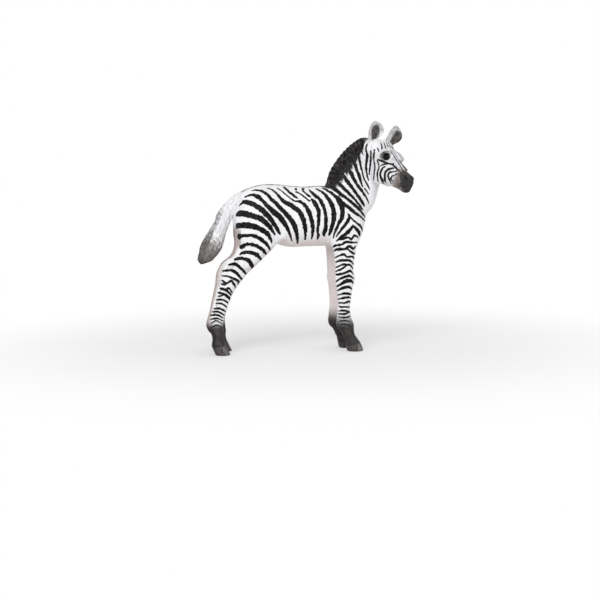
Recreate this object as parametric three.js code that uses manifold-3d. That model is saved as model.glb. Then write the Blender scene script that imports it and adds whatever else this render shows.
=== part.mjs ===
// Toy zebra foal: a small solid plastic figure that stands on its four hooves with its head turned to its
// right. Its mouldings are the trunk, the neck with the head, the mane, two ears, four legs and the tail.
// Each one plugs into its neighbour with a root or a tenon and is bonded there, so nothing moves.
// Millimetres, +X towards the head, +Y to the animal's left, +Z up, soles on Z = 0.
import * as THREE from "three";
import { mergeVertices } from "three/addons/utils/BufferGeometryUtils.js";
import Module from "manifold-3d";

const wasm = await Module();
wasm.setup();
const { degToRad: radians, smoothstep, lerp, clamp } = THREE.MathUtils;

// Sizes of the trunk
const BACK_HEIGHT = 55; // from the soles to the top of the back
const BODY_LENGTH = 45; // from the buttock to just ahead of the breast
const BODY_DEPTH = 20.4;
const BODY_WIDTH = 15.4;

// Sizes of the neck and the head
const NECK_LENGTH = 20; // from the neck's root in the breast to the poll
const NECK_DEPTH = 17.4;
const NECK_WIDTH = 9.4;
const HEAD_LENGTH = 19;
const HEAD_DEPTH = 13.6;
const HEAD_WIDTH = 9;
const EYE_LENGTH = 2.6;
const EYE_HEIGHT = 2;
const MANE_HEIGHT = 3; // hair above the crest of the neck
const MANE_ROOT = 1.2; // hair root let into the neck
const MANE_WIDTH = 2.4;
const EAR_LENGTH = 7.3;
const EAR_WIDTH = 7;
const EAR_THICKNESS = 1.4;
const EAR_CUP = 1.6; // how far the rims stand forward of the middle
const EAR_ROOT = 1.6;

// Sizes of the legs and the tail
const FORELEG_DEPTH = 10.8;
const FORELEG_WIDTH = 5.3;
const FORELEG_REACH = 4; // from the shoulder forward to the hoof
const FORE_STANCE = 8.8; // between the midlines of the two forelegs
const FORE_STEP = -1.3; // how far the left foreleg stands ahead of the right one
const HINDLEG_DEPTH = 13.6;
const HINDLEG_WIDTH = 6;
const HINDLEG_REACH = 15; // from the hip back to the fetlock
const HIND_STANCE = 9.6;
const HIND_STEP = 1.4; // how far the left hoof stands ahead of the right one
const TAIL_LENGTH = 26;
const TAIL_DEPTH = 6.6;
const TAIL_WIDTH = 4.8;

// Joints between the mouldings
const GLUE_GAP = 0.3; // room for the bond around each root
const TENON_RADIUS = 1.7;
const TENON_LENGTH = 5;

// Pose
const NECK_TURN = radians(20); // to the animal's right, between the breast and the poll
const HEAD_TURN = radians(29); // the head's own turn beyond that
const HEAD_AXIS_LEAN = radians(18); // how far the axis of that turn leans forward
const HEAD_LIFT = radians(3.2); // the nose is raised
const EAR_FACING = radians(6); // both cups turn to the animal's right
const EAR_LEAN = radians(28); // forward
const EAR_SPREAD = radians(15); // the tips stand apart

// Facets of the lofts
const TRUNK_SIDES = 32;
const NECK_SIDES = 26;
const LEG_SIDES = 16;
const SMALL_SIDES = 14;
const RINGS_PER_ROW = 2;

// Paints of the mouldings, from the parts of them that show most
const COAT_WHITE = 0xe9e8ea;
const HAIR_BLACK = 0x1d1c1d;
const EAR_GREY = 0xb9b7b5;
const TAIL_GREY = 0xa9a5a3;
const SATIN = 0.45; // roughness
const DULL = 0.62;

// Rows of the trunk: along the body, centre below the back, half depth, half width
const trunk_shares = [
  [-0.5, 0.51, 0.08, 0.1],
  [-0.48, 0.5, 0.25, 0.25],
  [-0.43, 0.475, 0.42, 0.39],
  [-0.355, 0.475, 0.46, 0.46],
  [-0.28, 0.45, 0.48, 0.485],
  [-0.19, 0.445, 0.48, 0.475],
  [-0.08, 0.505, 0.51, 0.49],
  [0.03, 0.515, 0.5, 0.5],
  [0.145, 0.505, 0.5, 0.48],
  [0.255, 0.52, 0.47, 0.44],
  [0.335, 0.565, 0.39, 0.39],
  [0.402, 0.59, 0.275, 0.325],
  [0.445, 0.62, 0.155, 0.235],
  [0.468, 0.63, 0.06, 0.1],
];
const body_middle_share = -0.033; // of the body's length, from the figure's origin

// Muscles and hollows on the outside of the trunk and the roots of the legs: along the body, below the
// back, half length, half height, lean in degrees, rise of the side
const muscle_shares = [
  [0.322, 0.32, 0.089, 0.343, 28, 0.11], // shoulder blade
  [0.41, 0.637, 0.053, 0.147, 0, 0.052], // point of the shoulder
  [-0.256, 0.123, 0.07, 0.12, 0, 0.075], // point of the hip
  [-0.445, 0.588, 0.1, 0.27, 0, 0.06], // thigh
  [-0.267, 0.833, 0.06, 0.14, 0, 0.055], // stifle
  [-0.19, 0.882, 0.05, 0.11, 0, 0.09], // fold of the flank
  [-0.389, 1.152, 0.06, 0.15, 0, 0.035], // second thigh
  [-0.134, 0.368, 0.07, 0.2, 0, -0.035], // hollow of the flank
  [0.195, 0.368, 0.035, 0.25, 24, -0.02], // hollow behind the shoulder
];

// Rows of the neck: forward and up from its root, slant in degrees, half depth, half width
const neck_shares = [
  [-0.04, 0, -49, 0.46, 0.4],
  [0.043, 0.18, -51, 0.472, 0.5],
  [0.15, 0.335, -55, 0.48, 0.49],
  [0.245, 0.475, -59, 0.465, 0.45],
  [0.328, 0.6, -65, 0.43, 0.42],
  [0.415, 0.71, -70, 0.395, 0.4],
  [0.52, 0.8, -75, 0.36, 0.36],
];
const neck_root_share = { along: 0.345, below: 0.36 };
const poll_share = { forward: 0.55, up: 0.815 };
const neck_seat_share = { depth: 0.853, up: 0.6 }; // as deep as the breast at its root, its own depth above
const neck_bend_share = 0.2; // of the neck's length stays straight above its root
const head_turn_share = { from: 0.32, to: 0.1 }; // of the head's length, behind the poll

// Rows of the head: forward and up from the poll, slant in degrees, half depth, half width
const head_shares = [
  [-0.03, -0.05, 90, 0.38, 0.33],
  [0.074, -0.085, 90, 0.535, 0.43],
  [0.226, -0.168, 93, 0.486, 0.5],
  [0.355, -0.272, 93, 0.397, 0.4],
  [0.457, -0.365, 93, 0.334, 0.33],
  [0.545, -0.44, 92, 0.272, 0.306],
  [0.614, -0.466, 92, 0.22, 0.289],
  [0.656, -0.472, 92, 0.154, 0.233],
  [0.677, -0.472, 92, 0.074, 0.122],
];
const head_egg_share = 0.08; // the brow is this much broader than the middle, and the jaw narrower
const eye_share = { forward: 0.31, up: -0.032, out: 0.325 };
const ear_share = { forward: -0.01, up: 0.25, out: 0.456 };

// Forms on the sides of the head: forward and up from the poll, half length, half height, lean, rise
const face_shares = [
  [0.114, -0.27, 0.17, 0.2, 0, 0.105], // cheek
  [0.25, 0.065, 0.105, 0.05, 0, 0.08], // brow
  [0.298, -0.032, 0.12, 0.075, 0, 0.08], // eyelids
  [0, 0.155, 0.14, 0.13, 0, 0.26], // hair at the foot of the ear
  [0.47, -0.335, 0.11, 0.06, 0, -0.05], // hollow above the mouth
];

// Height of the mane along the neck, from the withers to the poll
const mane_shares = [0.5, 0.72, 0.82, 0.88, 0.92, 0.95, 0.92, 0.75, 0.3];

// Rows of an ear: height, half width, half thickness, cup
const ear_shares = [
  [0, 0.22, 0.6, 0],
  [0.2, 0.26, 0.6, 0.25],
  [0.38, 0.33, 0.5, 0.6],
  [0.53, 0.44, 0.42, 0.9],
  [0.7, 0.475, 0.36, 0.95],
  [0.85, 0.39, 0.32, 0.65],
  [0.95, 0.24, 0.26, 0.3],
  [1, 0.07, 0.12, 0.05],
];

// Rows of a foreleg: forward of the shoulder, height, slant in degrees, half depth, half width
const foreleg_shares = [
  [-0.3, 0.85, 0, 0.26, 0.17],
  [-0.05, 0.795, 0, 0.41, 0.33],
  [0.15, 0.727, 0, 0.5, 0.47],
  [0.2, 0.664, 3, 0.43, 0.5],
  [0.125, 0.605, 2, 0.345, 0.48],
  [0.1, 0.538, 0, 0.3, 0.445],
  [0.075, 0.484, 0, 0.28, 0.425],
  [0.1, 0.433, -3, 0.285, 0.435],
  [0.075, 0.371, -2, 0.24, 0.37],
  [0.025, 0.28, 0, 0.195, 0.31],
  [0, 0.209, 2, 0.22, 0.35],
  [0.096, 0.16, 5, 0.269, 0.405],
  [0.296, 0.124, 8, 0.204, 0.349],
  [0.421, 0.095, 8, 0.185, 0.34],
  [0.571, 0.073, 8, 0.199, 0.377],
  [0.734, 0.047, 6, 0.231, 0.443],
  [0.871, 0.018, 3, 0.25, 0.481],
  [0.934, 0, 0, 0.245, 0.491],
];
const shoulder_share = 0.267; // of the body's length, ahead of the origin
const fore_step_shares = [0.55, 0.82]; // heights between which the step fades out

// Rows of a hind leg: forward of the hip, height, slant in degrees, half depth, half width
const hindleg_shares = [
  [0.03, 0.865, 0, 0.33, 0.17],
  [0.01, 0.825, 0, 0.44, 0.37],
  [-0.01, 0.785, 0, 0.5, 0.485],
  [-0.08, 0.711, -4, 0.475, 0.5],
  [-0.15, 0.64, -8, 0.425, 0.46],
  [-0.31, 0.575, -11, 0.362, 0.41],
  [-0.54, 0.519, -15, 0.354, 0.375],
  [-0.675, 0.469, -19, 0.315, 0.36],
  [-0.777, 0.402, -18, 0.246, 0.33],
  [-0.86, 0.335, -11, 0.212, 0.29],
  [-0.946, 0.255, -7, 0.189, 0.285],
  [-1.005, 0.193, 2, 0.206, 0.342],
  [-0.985, 0.156, 2, 0.191, 0.333],
  [-0.942, 0.127, -2, 0.158, 0.308],
  [-0.935, 0.105, -2, 0.143, 0.292],
  [-0.935, 0.08, -2, 0.154, 0.317],
  [-0.918, 0.051, -2, 0.184, 0.383],
  [-0.852, 0.011, 0, 0.184, 0.408],
  [-0.828, 0, 0, 0.176, 0.4],
];
const hip_share = -0.355;
const hind_step_shares = [0.5, 0.8];

// Rows of the tail: forward and up from its root, slant in degrees, half depth, half width
const tail_shares = [
  [0.149, -0.008, -90, 0.227, 0.292],
  [0.007, -0.008, -91, 0.333, 0.354],
  [-0.116, -0.112, -64, 0.348, 0.375],
  [-0.201, -0.227, -44, 0.364, 0.396],
  [-0.259, -0.354, -32, 0.348, 0.417],
  [-0.316, -0.477, -25, 0.409, 0.458],
  [-0.382, -0.616, -17, 0.455, 0.458],
  [-0.451, -0.747, -12, 0.364, 0.354],
  [-0.501, -0.827, 0, 0.076, 0.083],
];
const tail_root_share = { along: -0.442, below: 0.176 };

const side_form_share = 0.5; // of a form's half width, over which a muscle's rise comes in from its midline

// Places that the pieces share
const bodyX = (share) => (body_middle_share + share) * BODY_LENGTH;
const bodyZ = (share) => BACK_HEIGHT - share * BODY_DEPTH;
const NECK_ROOT = new THREE.Vector3(bodyX(neck_root_share.along), 0, bodyZ(neck_root_share.below));
const POLL = NECK_ROOT.clone().add(
  new THREE.Vector3(poll_share.forward * NECK_LENGTH, 0, poll_share.up * NECK_LENGTH),
);
const NECK_AXIS = POLL.clone().sub(NECK_ROOT).normalize();
const HEAD_AXIS = new THREE.Vector3(Math.sin(HEAD_AXIS_LEAN), 0, Math.cos(HEAD_AXIS_LEAN));
const ACROSS = new THREE.Vector3(0, 1, 0);
const TAIL_ROOT = new THREE.Vector3(bodyX(tail_root_share.along), 0, bodyZ(tail_root_share.below));

const BODY_MUSCLES = muscle_shares.map(([along, below, length, height, lean, rise]) => ({
  middle: new THREE.Vector2(bodyX(along), bodyZ(below)),
  length: length * BODY_LENGTH,
  height: height * BODY_DEPTH,
  lean: radians(lean),
  rise: rise * BODY_WIDTH,
}));
const FACE_FORMS = face_shares.map(([forward, up, length, height, lean, rise]) => ({
  middle: new THREE.Vector2(POLL.x + forward * HEAD_LENGTH, POLL.z + up * HEAD_LENGTH),
  length: length * HEAD_LENGTH,
  height: height * HEAD_LENGTH,
  lean: radians(lean),
  rise: rise * HEAD_WIDTH,
}));

// Values between the rows of a table, on a Catmull-Rom spline through each column.
function rowAt(rows, share) {
  const last = rows.length - 1;
  const span = share * last;
  const first = Math.min(Math.floor(span), last - 1);
  const t = span - first;
  const at = (i) => rows[clamp(i, 0, last)];
  const [before, from, to, after] = [at(first - 1), at(first), at(first + 1), at(first + 2)];
  return from.map((value, i) => {
    const leave = (to[i] - before[i]) / 2;
    const arrive = (after[i] - value) / 2;
    const rise = to[i] - value;
    return value + t * (leave + t * (3 * rise - 2 * leave - arrive + t * (leave + arrive - 2 * rise)));
  });
}

// How far muscles raise the side of a form at a place in the side plane. A hollow's rise is below zero.
function riseAt(muscles, x, z) {
  return muscles.reduce((total, { middle, length, height, lean, rise }) => {
    const ahead = x - middle.x;
    const above = z - middle.y;
    const along = (ahead * Math.cos(lean) + above * Math.sin(lean)) / length;
    const up = (above * Math.cos(lean) - ahead * Math.sin(lean)) / height;
    return total + rise * Math.exp(-along * along - up * up);
  }, 0);
}

// Points of one cross-section. Its depth lies in the side plane at the given slant, and its width across.
// The points are spread by equal angles; egg makes one end of the depth broader than the other. Muscles
// raise both sides, or only the one away from the midline where outside is given.
function crossSection({ x, y = 0, z, slant, depth, width, egg = 0, muscles = [], outside = 0 }, sides, grow) {
  return Array.from({ length: sides }, (_, i) => {
    const angle = (2 * Math.PI * i) / sides;
    const along = (depth + grow) * Math.cos(angle);
    const point = new THREE.Vector3(x + along * Math.cos(slant), y, z + along * Math.sin(slant));
    const side = clamp(Math.sin(angle) / side_form_share, -1, 1);
    const raised = outside * side < 0 ? 0 : side * riseAt(muscles, point.x, point.z);
    point.y += (width + grow) * Math.sin(angle) * (1 + egg * Math.cos(angle)) + raised;
    return point;
  });
}

// A closed solid through rings of points, each end shut by a fan about its middle. A grown one is also
// longer at both ends.
function solidThrough(rings, grow = 0) {
  const sides = rings[0].length;
  const middleOf = (ring) =>
    ring.reduce((sum, point) => sum.add(point), new THREE.Vector3()).divideScalar(sides);
  const ends = [rings[0], rings[rings.length - 1]];
  const inner = [rings[1], rings[rings.length - 2]];
  ends.forEach((ring, i) => {
    const outward = middleOf(ring).sub(middleOf(inner[i])).setLength(grow);
    ring.forEach((point) => point.add(outward));
  });
  const points = [...rings.flat(), ...ends.map(middleOf)];
  const index = [];
  for (let r = 0; r < rings.length - 1; r += 1) {
    for (let i = 0; i < sides; i += 1) {
      const next = (i + 1) % sides;
      const [a, b, c, d] = [r * sides + i, r * sides + next, (r + 1) * sides + next, (r + 1) * sides + i];
      index.push(a, b, c, a, c, d);
    }
  }
  const start = rings.length * sides;
  const lastRing = start - sides;
  for (let i = 0; i < sides; i += 1) {
    const next = (i + 1) % sides;
    index.push(start, next, i, start + 1, lastRing + i, lastRing + next);
  }
  const geometry = new THREE.BufferGeometry().setFromPoints(points).setIndex(index);
  const solid = solidOf(geometry);
  if (solid.volume() > 0) return solid;
  geometry.setIndex(index.reverse());
  return solidOf(geometry);
}

// A closed three.js geometry as a solid that can be joined and cut.
function solidOf(geometry) {
  const bare = geometry.clone();
  bare.deleteAttribute("normal");
  bare.deleteAttribute("uv");
  const merged = mergeVertices(bare);
  return new wasm.Manifold(
    new wasm.Mesh({
      numProp: 3,
      vertProperties: new Float32Array(merged.attributes.position.array),
      triVerts: new Uint32Array(merged.index.array),
    }),
  );
}

// Rings of a loft: each row between the table's own is turned into a cross-section by sectionOf.
function loft(rows, sectionOf, sides, grow = 0) {
  const count = (rows.length - 1) * RINGS_PER_ROW;
  const rings = Array.from({ length: count + 1 }, (_, i) =>
    crossSection(sectionOf(rowAt(rows, i / count)), sides, grow),
  );
  return solidThrough(rings, grow);
}

function trunkForm(grow = 0) {
  const section = ([along, below, depth, width]) => ({
    x: bodyX(along),
    z: bodyZ(below),
    slant: Math.PI / 2,
    depth: depth * BODY_DEPTH,
    width: width * BODY_WIDTH,
    muscles: BODY_MUSCLES,
  });
  return loft(trunk_shares, section, TRUNK_SIDES, grow);
}

// The neck's root takes its depth from the breast that it grows out of.
const neckSection = ([forward, up, slant, depth, width]) => ({
  x: NECK_ROOT.x + forward * NECK_LENGTH,
  z: NECK_ROOT.z + up * NECK_LENGTH,
  slant: radians(slant),
  depth: depth * lerp(neck_seat_share.depth * BODY_DEPTH, NECK_DEPTH, smoothstep(up, 0, neck_seat_share.up)),
  width: width * NECK_WIDTH,
  muscles: FACE_FORMS,
});

const headSection = ([forward, up, slant, depth, width]) => ({
  x: POLL.x + forward * HEAD_LENGTH,
  z: POLL.z + up * HEAD_LENGTH,
  slant: radians(slant),
  depth: depth * HEAD_DEPTH,
  width: width * HEAD_WIDTH,
  egg: head_egg_share,
  muscles: FACE_FORMS,
});

// Both eyeballs stand out of the sides of the head a little.
function eyeForm(side) {
  const ball = new THREE.SphereGeometry(1, SMALL_SIDES, SMALL_SIDES / 2);
  ball.scale(EYE_LENGTH / 2, EYE_HEIGHT / 2, EYE_HEIGHT / 2);
  ball.translate(
    POLL.x + eye_share.forward * HEAD_LENGTH,
    side * eye_share.out * HEAD_WIDTH,
    POLL.z + eye_share.up * HEAD_LENGTH,
  );
  return solidOf(ball);
}

// The neck's tenon runs from its base into the breast, along the neck.
function tenonForm(grow = 0) {
  const length = 2 * (TENON_LENGTH + grow);
  const peg = new THREE.CylinderGeometry(TENON_RADIUS + grow, TENON_RADIUS + grow, length, NECK_SIDES);
  peg.applyQuaternion(new THREE.Quaternion().setFromUnitVectors(new THREE.Vector3(0, 1, 0), NECK_AXIS));
  peg.translate(NECK_ROOT.x, NECK_ROOT.y, NECK_ROOT.z);
  return solidOf(peg);
}

// The mane stands on the crest of the neck, which is the far end of each cross-section's depth.
function maneForm(grow = 0) {
  const count = (mane_shares.length - 1) * RINGS_PER_ROW;
  const rings = Array.from({ length: count + 1 }, (_, i) => {
    const neck = neckSection(rowAt(neck_shares, i / count));
    const [height] = rowAt(mane_shares.map((value) => [value]), i / count);
    const hair = height * MANE_HEIGHT;
    const middle = neck.depth + (hair - MANE_ROOT) / 2;
    const section = {
      x: neck.x - middle * Math.cos(neck.slant),
      z: neck.z - middle * Math.sin(neck.slant),
      slant: neck.slant,
      depth: (hair + MANE_ROOT) / 2,
      width: MANE_WIDTH / 2,
    };
    return crossSection(section, SMALL_SIDES, grow);
  });
  return solidThrough(rings, grow);
}

// An ear is a leaf whose rims curve forward about a cup. It is made upright, facing ahead.
function earForm(side, grow = 0) {
  const length = EAR_LENGTH + EAR_ROOT;
  const count = (ear_shares.length - 1) * RINGS_PER_ROW;
  const rings = Array.from({ length: count + 1 }, (_, i) => {
    const [height, width, thickness, cup] = rowAt(ear_shares, i / count);
    return Array.from({ length: SMALL_SIDES }, (_, k) => {
      const angle = (2 * Math.PI * k) / SMALL_SIDES;
      const forward = cup * EAR_CUP * Math.cos(angle) ** 2;
      return new THREE.Vector3(
        forward + (thickness * EAR_THICKNESS + grow) * Math.sin(angle),
        (width * EAR_WIDTH + grow) * Math.cos(angle),
        height * length - EAR_ROOT,
      );
    });
  });
  const facing = new THREE.Euler(-side * EAR_SPREAD, EAR_LEAN, -EAR_FACING, "ZYX");
  const seat = new THREE.Vector3(
    POLL.x + ear_share.forward * HEAD_LENGTH,
    side * ear_share.out * HEAD_WIDTH,
    POLL.z + ear_share.up * HEAD_LENGTH,
  );
  rings.flat().forEach((point) => point.applyEuler(facing).add(seat));
  return solidThrough(rings, grow);
}

// A leg on one side. The left one stands apart from the right by a step that fades out towards the body.
function legForm(rows, sizes, side, grow = 0) {
  const section = ([forward, height, slant, depth, width]) => ({
    x:
      sizes.root +
      forward * sizes.reach +
      (side > 0 ? sizes.step * (1 - smoothstep(height, ...sizes.step_shares)) : 0),
    y: (side * sizes.stance) / 2,
    z: height * BACK_HEIGHT,
    slant: radians(slant),
    depth: depth * sizes.depth,
    width: width * sizes.width,
    muscles: BODY_MUSCLES,
    outside: side,
  });
  return loft(rows, section, LEG_SIDES, grow);
}

const foreleg = (side, grow) =>
  legForm(
    foreleg_shares,
    {
      root: shoulder_share * BODY_LENGTH,
      reach: FORELEG_REACH,
      step: FORE_STEP,
      step_shares: fore_step_shares,
      stance: FORE_STANCE,
      depth: FORELEG_DEPTH,
      width: FORELEG_WIDTH,
    },
    side,
    grow,
  );

const hindleg = (side, grow) =>
  legForm(
    hindleg_shares,
    {
      root: hip_share * BODY_LENGTH,
      reach: HINDLEG_REACH,
      step: HIND_STEP,
      step_shares: hind_step_shares,
      stance: HIND_STANCE,
      depth: HINDLEG_DEPTH,
      width: HINDLEG_WIDTH,
    },
    side,
    grow,
  );

function tailForm(grow = 0) {
  const section = ([forward, up, slant, depth, width]) => ({
    x: TAIL_ROOT.x + forward * TAIL_LENGTH,
    z: TAIL_ROOT.z + up * TAIL_LENGTH,
    slant: radians(slant),
    depth: depth * TAIL_DEPTH,
    width: width * TAIL_WIDTH,
  });
  return loft(tail_shares, section, SMALL_SIDES, grow);
}

const bothSides = (form, grow) => [form(-1, grow), form(1, grow)];
const without = (solid, cutters) => cutters.reduce((left, cutter) => left.subtract(cutter), solid);

// The trunk with the sockets of everything that plugs into it.
function trunk() {
  return without(trunkForm(), [
    ...bothSides(foreleg, GLUE_GAP),
    ...bothSides(hindleg, GLUE_GAP),
    tailForm(GLUE_GAP),
    maneForm(GLUE_GAP),
    tenonForm(GLUE_GAP),
  ]);
}

// The neck and the head are one moulding, seated on the trunk's front with a tenon.
function neckAndHead() {
  const neck = loft(neck_shares, neckSection, NECK_SIDES);
  const head = loft(head_shares, headSection, NECK_SIDES);
  return without(neck.add(head), [trunkForm(GLUE_GAP), ...bothSides(earForm, GLUE_GAP), maneForm(GLUE_GAP)])
    .add(tenonForm())
    .add(eyeForm(-1))
    .add(eyeForm(1));
}

// The neck bends to the animal's right from the breast up. At the poll the head turns further and lifts.
function turned(point) {
  const up = new THREE.Vector3(0, 0, 1);
  const share = point.clone().sub(NECK_ROOT).dot(NECK_AXIS) / NECK_LENGTH;
  const ahead = (point.x - POLL.x) / HEAD_LENGTH;
  const onHead = smoothstep(ahead, -head_turn_share.from, -head_turn_share.to);
  const bend = NECK_TURN * lerp(smoothstep(share, neck_bend_share, 1), 1, onHead);
  point.sub(POLL).applyAxisAngle(ACROSS, -HEAD_LIFT * onHead);
  point.applyAxisAngle(HEAD_AXIS, -HEAD_TURN * onHead).add(POLL);
  point.sub(NECK_ROOT).applyAxisAngle(up, -bend).add(NECK_ROOT);
  return point;
}

// A solid as a named mesh, whose own origin is the seat of its root.
function pieceOf(name, solid, material, seat, pose = (point) => point) {
  const { numProp, vertProperties, triVerts } = solid.getMesh();
  const points = [];
  for (let i = 0; i < vertProperties.length; i += numProp) {
    points.push(pose(new THREE.Vector3().fromArray(vertProperties, i)));
  }
  const geometry = new THREE.BufferGeometry().setFromPoints(points).setIndex([...triVerts]);
  geometry.translate(-seat.x, -seat.y, -seat.z);
  geometry.computeVertexNormals();
  const piece = new THREE.Mesh(geometry, material);
  piece.name = name;
  piece.position.copy(seat);
  return piece;
}

const paint = (colour, roughness) =>
  new THREE.MeshStandardMaterial({ color: colour, roughness, metalness: 0, flatShading: true });

// The pieces of one side: an ear and two legs.
function sidePieces(word, side) {
  const legSeat = (share, stance) => new THREE.Vector3(share * BODY_LENGTH, (side * stance) / 2, 0);
  return [
    pieceOf(`ear_${word}`, earForm(side), paint(EAR_GREY, DULL), POLL, turned),
    pieceOf(`foreleg_${word}`, foreleg(side), paint(COAT_WHITE, SATIN), legSeat(shoulder_share, FORE_STANCE)),
    pieceOf(`hindleg_${word}`, hindleg(side), paint(COAT_WHITE, SATIN), legSeat(hip_share, HIND_STANCE)),
  ];
}

const foal = new THREE.Group();
foal.name = "zebra_foal";
foal.add(
  pieceOf("trunk", trunk(), paint(COAT_WHITE, SATIN), new THREE.Vector3(0, 0, BACK_HEIGHT)),
  pieceOf("neck_and_head", neckAndHead(), paint(COAT_WHITE, SATIN), NECK_ROOT, turned),
  pieceOf("mane", maneForm(), paint(HAIR_BLACK, DULL), NECK_ROOT, turned),
  pieceOf("tail", tailForm(), paint(TAIL_GREY, DULL), TAIL_ROOT),
  ...sidePieces("right", -1),
  ...sidePieces("left", 1),
);

// The frame's origin is under the middle of the figure's box, on the soles.
const box = new THREE.Box3().setFromObject(foal);
const middle = box.getCenter(new THREE.Vector3());
foal.position.set(-middle.x, -middle.y, -box.min.z);

export default foal;
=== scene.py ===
# A toy zebra foal, moulded in solid vinyl and painted by hand, standing on its own four hooves.
# Sizes of the figure are millimetres in its straight pose: +X to the head, +Y to its left, soles on Z = 0.
import math
import bpy
import numpy as np
import openvdb
from mathutils import Euler, Matrix, Vector, kdtree
from mathutils.bvhtree import BVHTree


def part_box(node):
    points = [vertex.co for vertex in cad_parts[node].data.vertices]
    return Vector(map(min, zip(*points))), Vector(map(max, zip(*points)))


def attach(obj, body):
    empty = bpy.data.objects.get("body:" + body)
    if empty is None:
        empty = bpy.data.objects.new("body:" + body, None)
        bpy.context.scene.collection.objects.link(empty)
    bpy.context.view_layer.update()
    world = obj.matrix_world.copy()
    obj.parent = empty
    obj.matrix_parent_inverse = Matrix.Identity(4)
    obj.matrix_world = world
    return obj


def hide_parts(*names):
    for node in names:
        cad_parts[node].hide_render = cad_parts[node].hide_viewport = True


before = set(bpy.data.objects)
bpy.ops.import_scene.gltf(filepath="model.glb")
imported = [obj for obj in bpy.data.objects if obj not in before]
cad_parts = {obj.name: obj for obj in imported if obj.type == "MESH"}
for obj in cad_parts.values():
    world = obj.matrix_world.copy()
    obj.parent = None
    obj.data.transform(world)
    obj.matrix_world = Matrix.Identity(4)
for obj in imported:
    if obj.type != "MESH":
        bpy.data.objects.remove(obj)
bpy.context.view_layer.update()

# The place of the figure: the trunk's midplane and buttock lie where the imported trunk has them, and the
# camera looks at its right side from a little behind and above, as the photograph does.
MM = 0.001
TRUNK_REAR = -23.985  # the buttock, in the straight pose's own X
trunk_low, trunk_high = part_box("trunk")
PLACE = np.array([trunk_low.x / MM - TRUNK_REAR, (trunk_low.y + trunk_high.y) / 2 / MM, 0.0])
IMAGE_PX = 600
PX_PER_MM = 3.0
LENS = 100.0
SENSOR = 36.0
CLIP_START = 0.01
AIM = np.array([-2.0, 0.0, 17.0])
VIEW_ANGLES = (-8.0, 6.5, -0.7)  # turn, rise and roll in degrees
view_turn, view_rise, view_roll = (math.radians(angle) for angle in VIEW_ANGLES)
ahead = np.array(
    [
        -math.sin(view_turn) * math.cos(view_rise),
        math.cos(view_turn) * math.cos(view_rise),
        -math.sin(view_rise),
    ]
)
level = np.array([math.cos(view_turn), math.sin(view_turn), 0.0])
upright = np.cross(level, ahead)
right = level * math.cos(view_roll) + upright * math.sin(view_roll)
upward = upright * math.cos(view_roll) - level * math.sin(view_roll)
eye_point = AIM - ahead * LENS / SENSOR * IMAGE_PX / PX_PER_MM

camera = bpy.data.objects.new("camera", bpy.data.cameras.new("camera"))
bpy.context.scene.collection.objects.link(camera)
camera.data.lens = LENS
camera.data.sensor_width = SENSOR
camera.data.clip_start = CLIP_START
camera.matrix_world = Matrix.Translation(Vector((eye_point + PLACE) * MM)) @ Matrix(
    [[right[i], upward[i], -ahead[i]] for i in range(3)]
).to_4x4()
bpy.context.scene.camera = camera
bpy.context.scene.view_settings.view_transform = "Standard"

# Trunk: a solid vinyl moulding with the muscles of the shoulder, flank and hip modelled in, which holds
# the roots of all the others. It is sculpted as a field of distances in a block of small cells, in which
# the forms run together.
CELL = 0.2
BLOCK_LOW = np.array([-38.0, -11.0, -1.6])
BLOCK_SIZE = np.array([79.0, 22.0, 73.6])
REACH_CELLS = 16  # distances are kept this far from a skin
TRUNK_RINGS = 60
BODY_SIDES = 48
cells = tuple(int(round(length / CELL)) for length in BLOCK_SIZE)
first_cell = np.round(BLOCK_LOW / CELL).astype(int)


def smoothstep(value, start, end):
    """From 0 at the start to 1 at the end, smoothly. The end may be the lower of the two."""
    t = np.clip((value - start) / (end - start), 0.0, 1.0)
    return t * t * (3 - 2 * t)


def spline(rows, count):
    """Rows at even steps on a Catmull-Rom curve through the given ones."""
    rows = np.asarray(rows, float)
    spans = np.linspace(0, len(rows) - 1, count)
    start = np.minimum(spans.astype(int), len(rows) - 2)
    t = (spans - start)[:, None]
    last = len(rows) - 1
    before, here = rows[np.maximum(start - 1, 0)], rows[start]
    there, after = rows[start + 1], rows[np.minimum(start + 2, last)]
    leave, arrive, rise = (there - before) / 2, (after - here) / 2, there - here
    return here + t * (leave + t * (3 * rise - 2 * leave - arrive + t * (leave + arrive - 2 * rise)))


def rings_through(rows, sides, egg=0.0, y=0.0):
    """Oval rings of a form. A row is x, z, slant of the depth in degrees, half depth and half width."""
    x, z, slant, depth, width = (column[:, None] for column in np.asarray(rows, float).T)
    angle = np.linspace(0, 2 * math.pi, sides, endpoint=False)[None, :]
    along = depth * np.cos(angle)
    across = width * np.sin(angle) * (1 + egg * np.cos(angle))
    slant = np.radians(slant)
    return np.stack([x + along * np.cos(slant), y + across, z + along * np.sin(slant)], axis=-1)


def skin_of(rings):
    """Points, quads and end triangles of the closed skin over a stack of rings."""
    count, sides = rings.shape[:2]
    points = np.concatenate([rings.reshape(-1, 3), rings[0].mean(0)[None], rings[-1].mean(0)[None]])
    ring, side = np.meshgrid(np.arange(count - 1), np.arange(sides), indexing="ij")
    here, beside = ring * sides + side, ring * sides + (side + 1) % sides
    quads = np.stack([here, beside, beside + sides, here + sides], axis=-1).reshape(-1, 4)
    around = np.arange(sides)
    after = (around + 1) % sides
    start = np.full(sides, count * sides)
    end_ring = (count - 1) * sides
    ends = np.concatenate(
        [np.stack([start, after, around], -1), np.stack([start + 1, end_ring + around, end_ring + after], -1)]
    )
    return points, quads, ends


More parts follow.
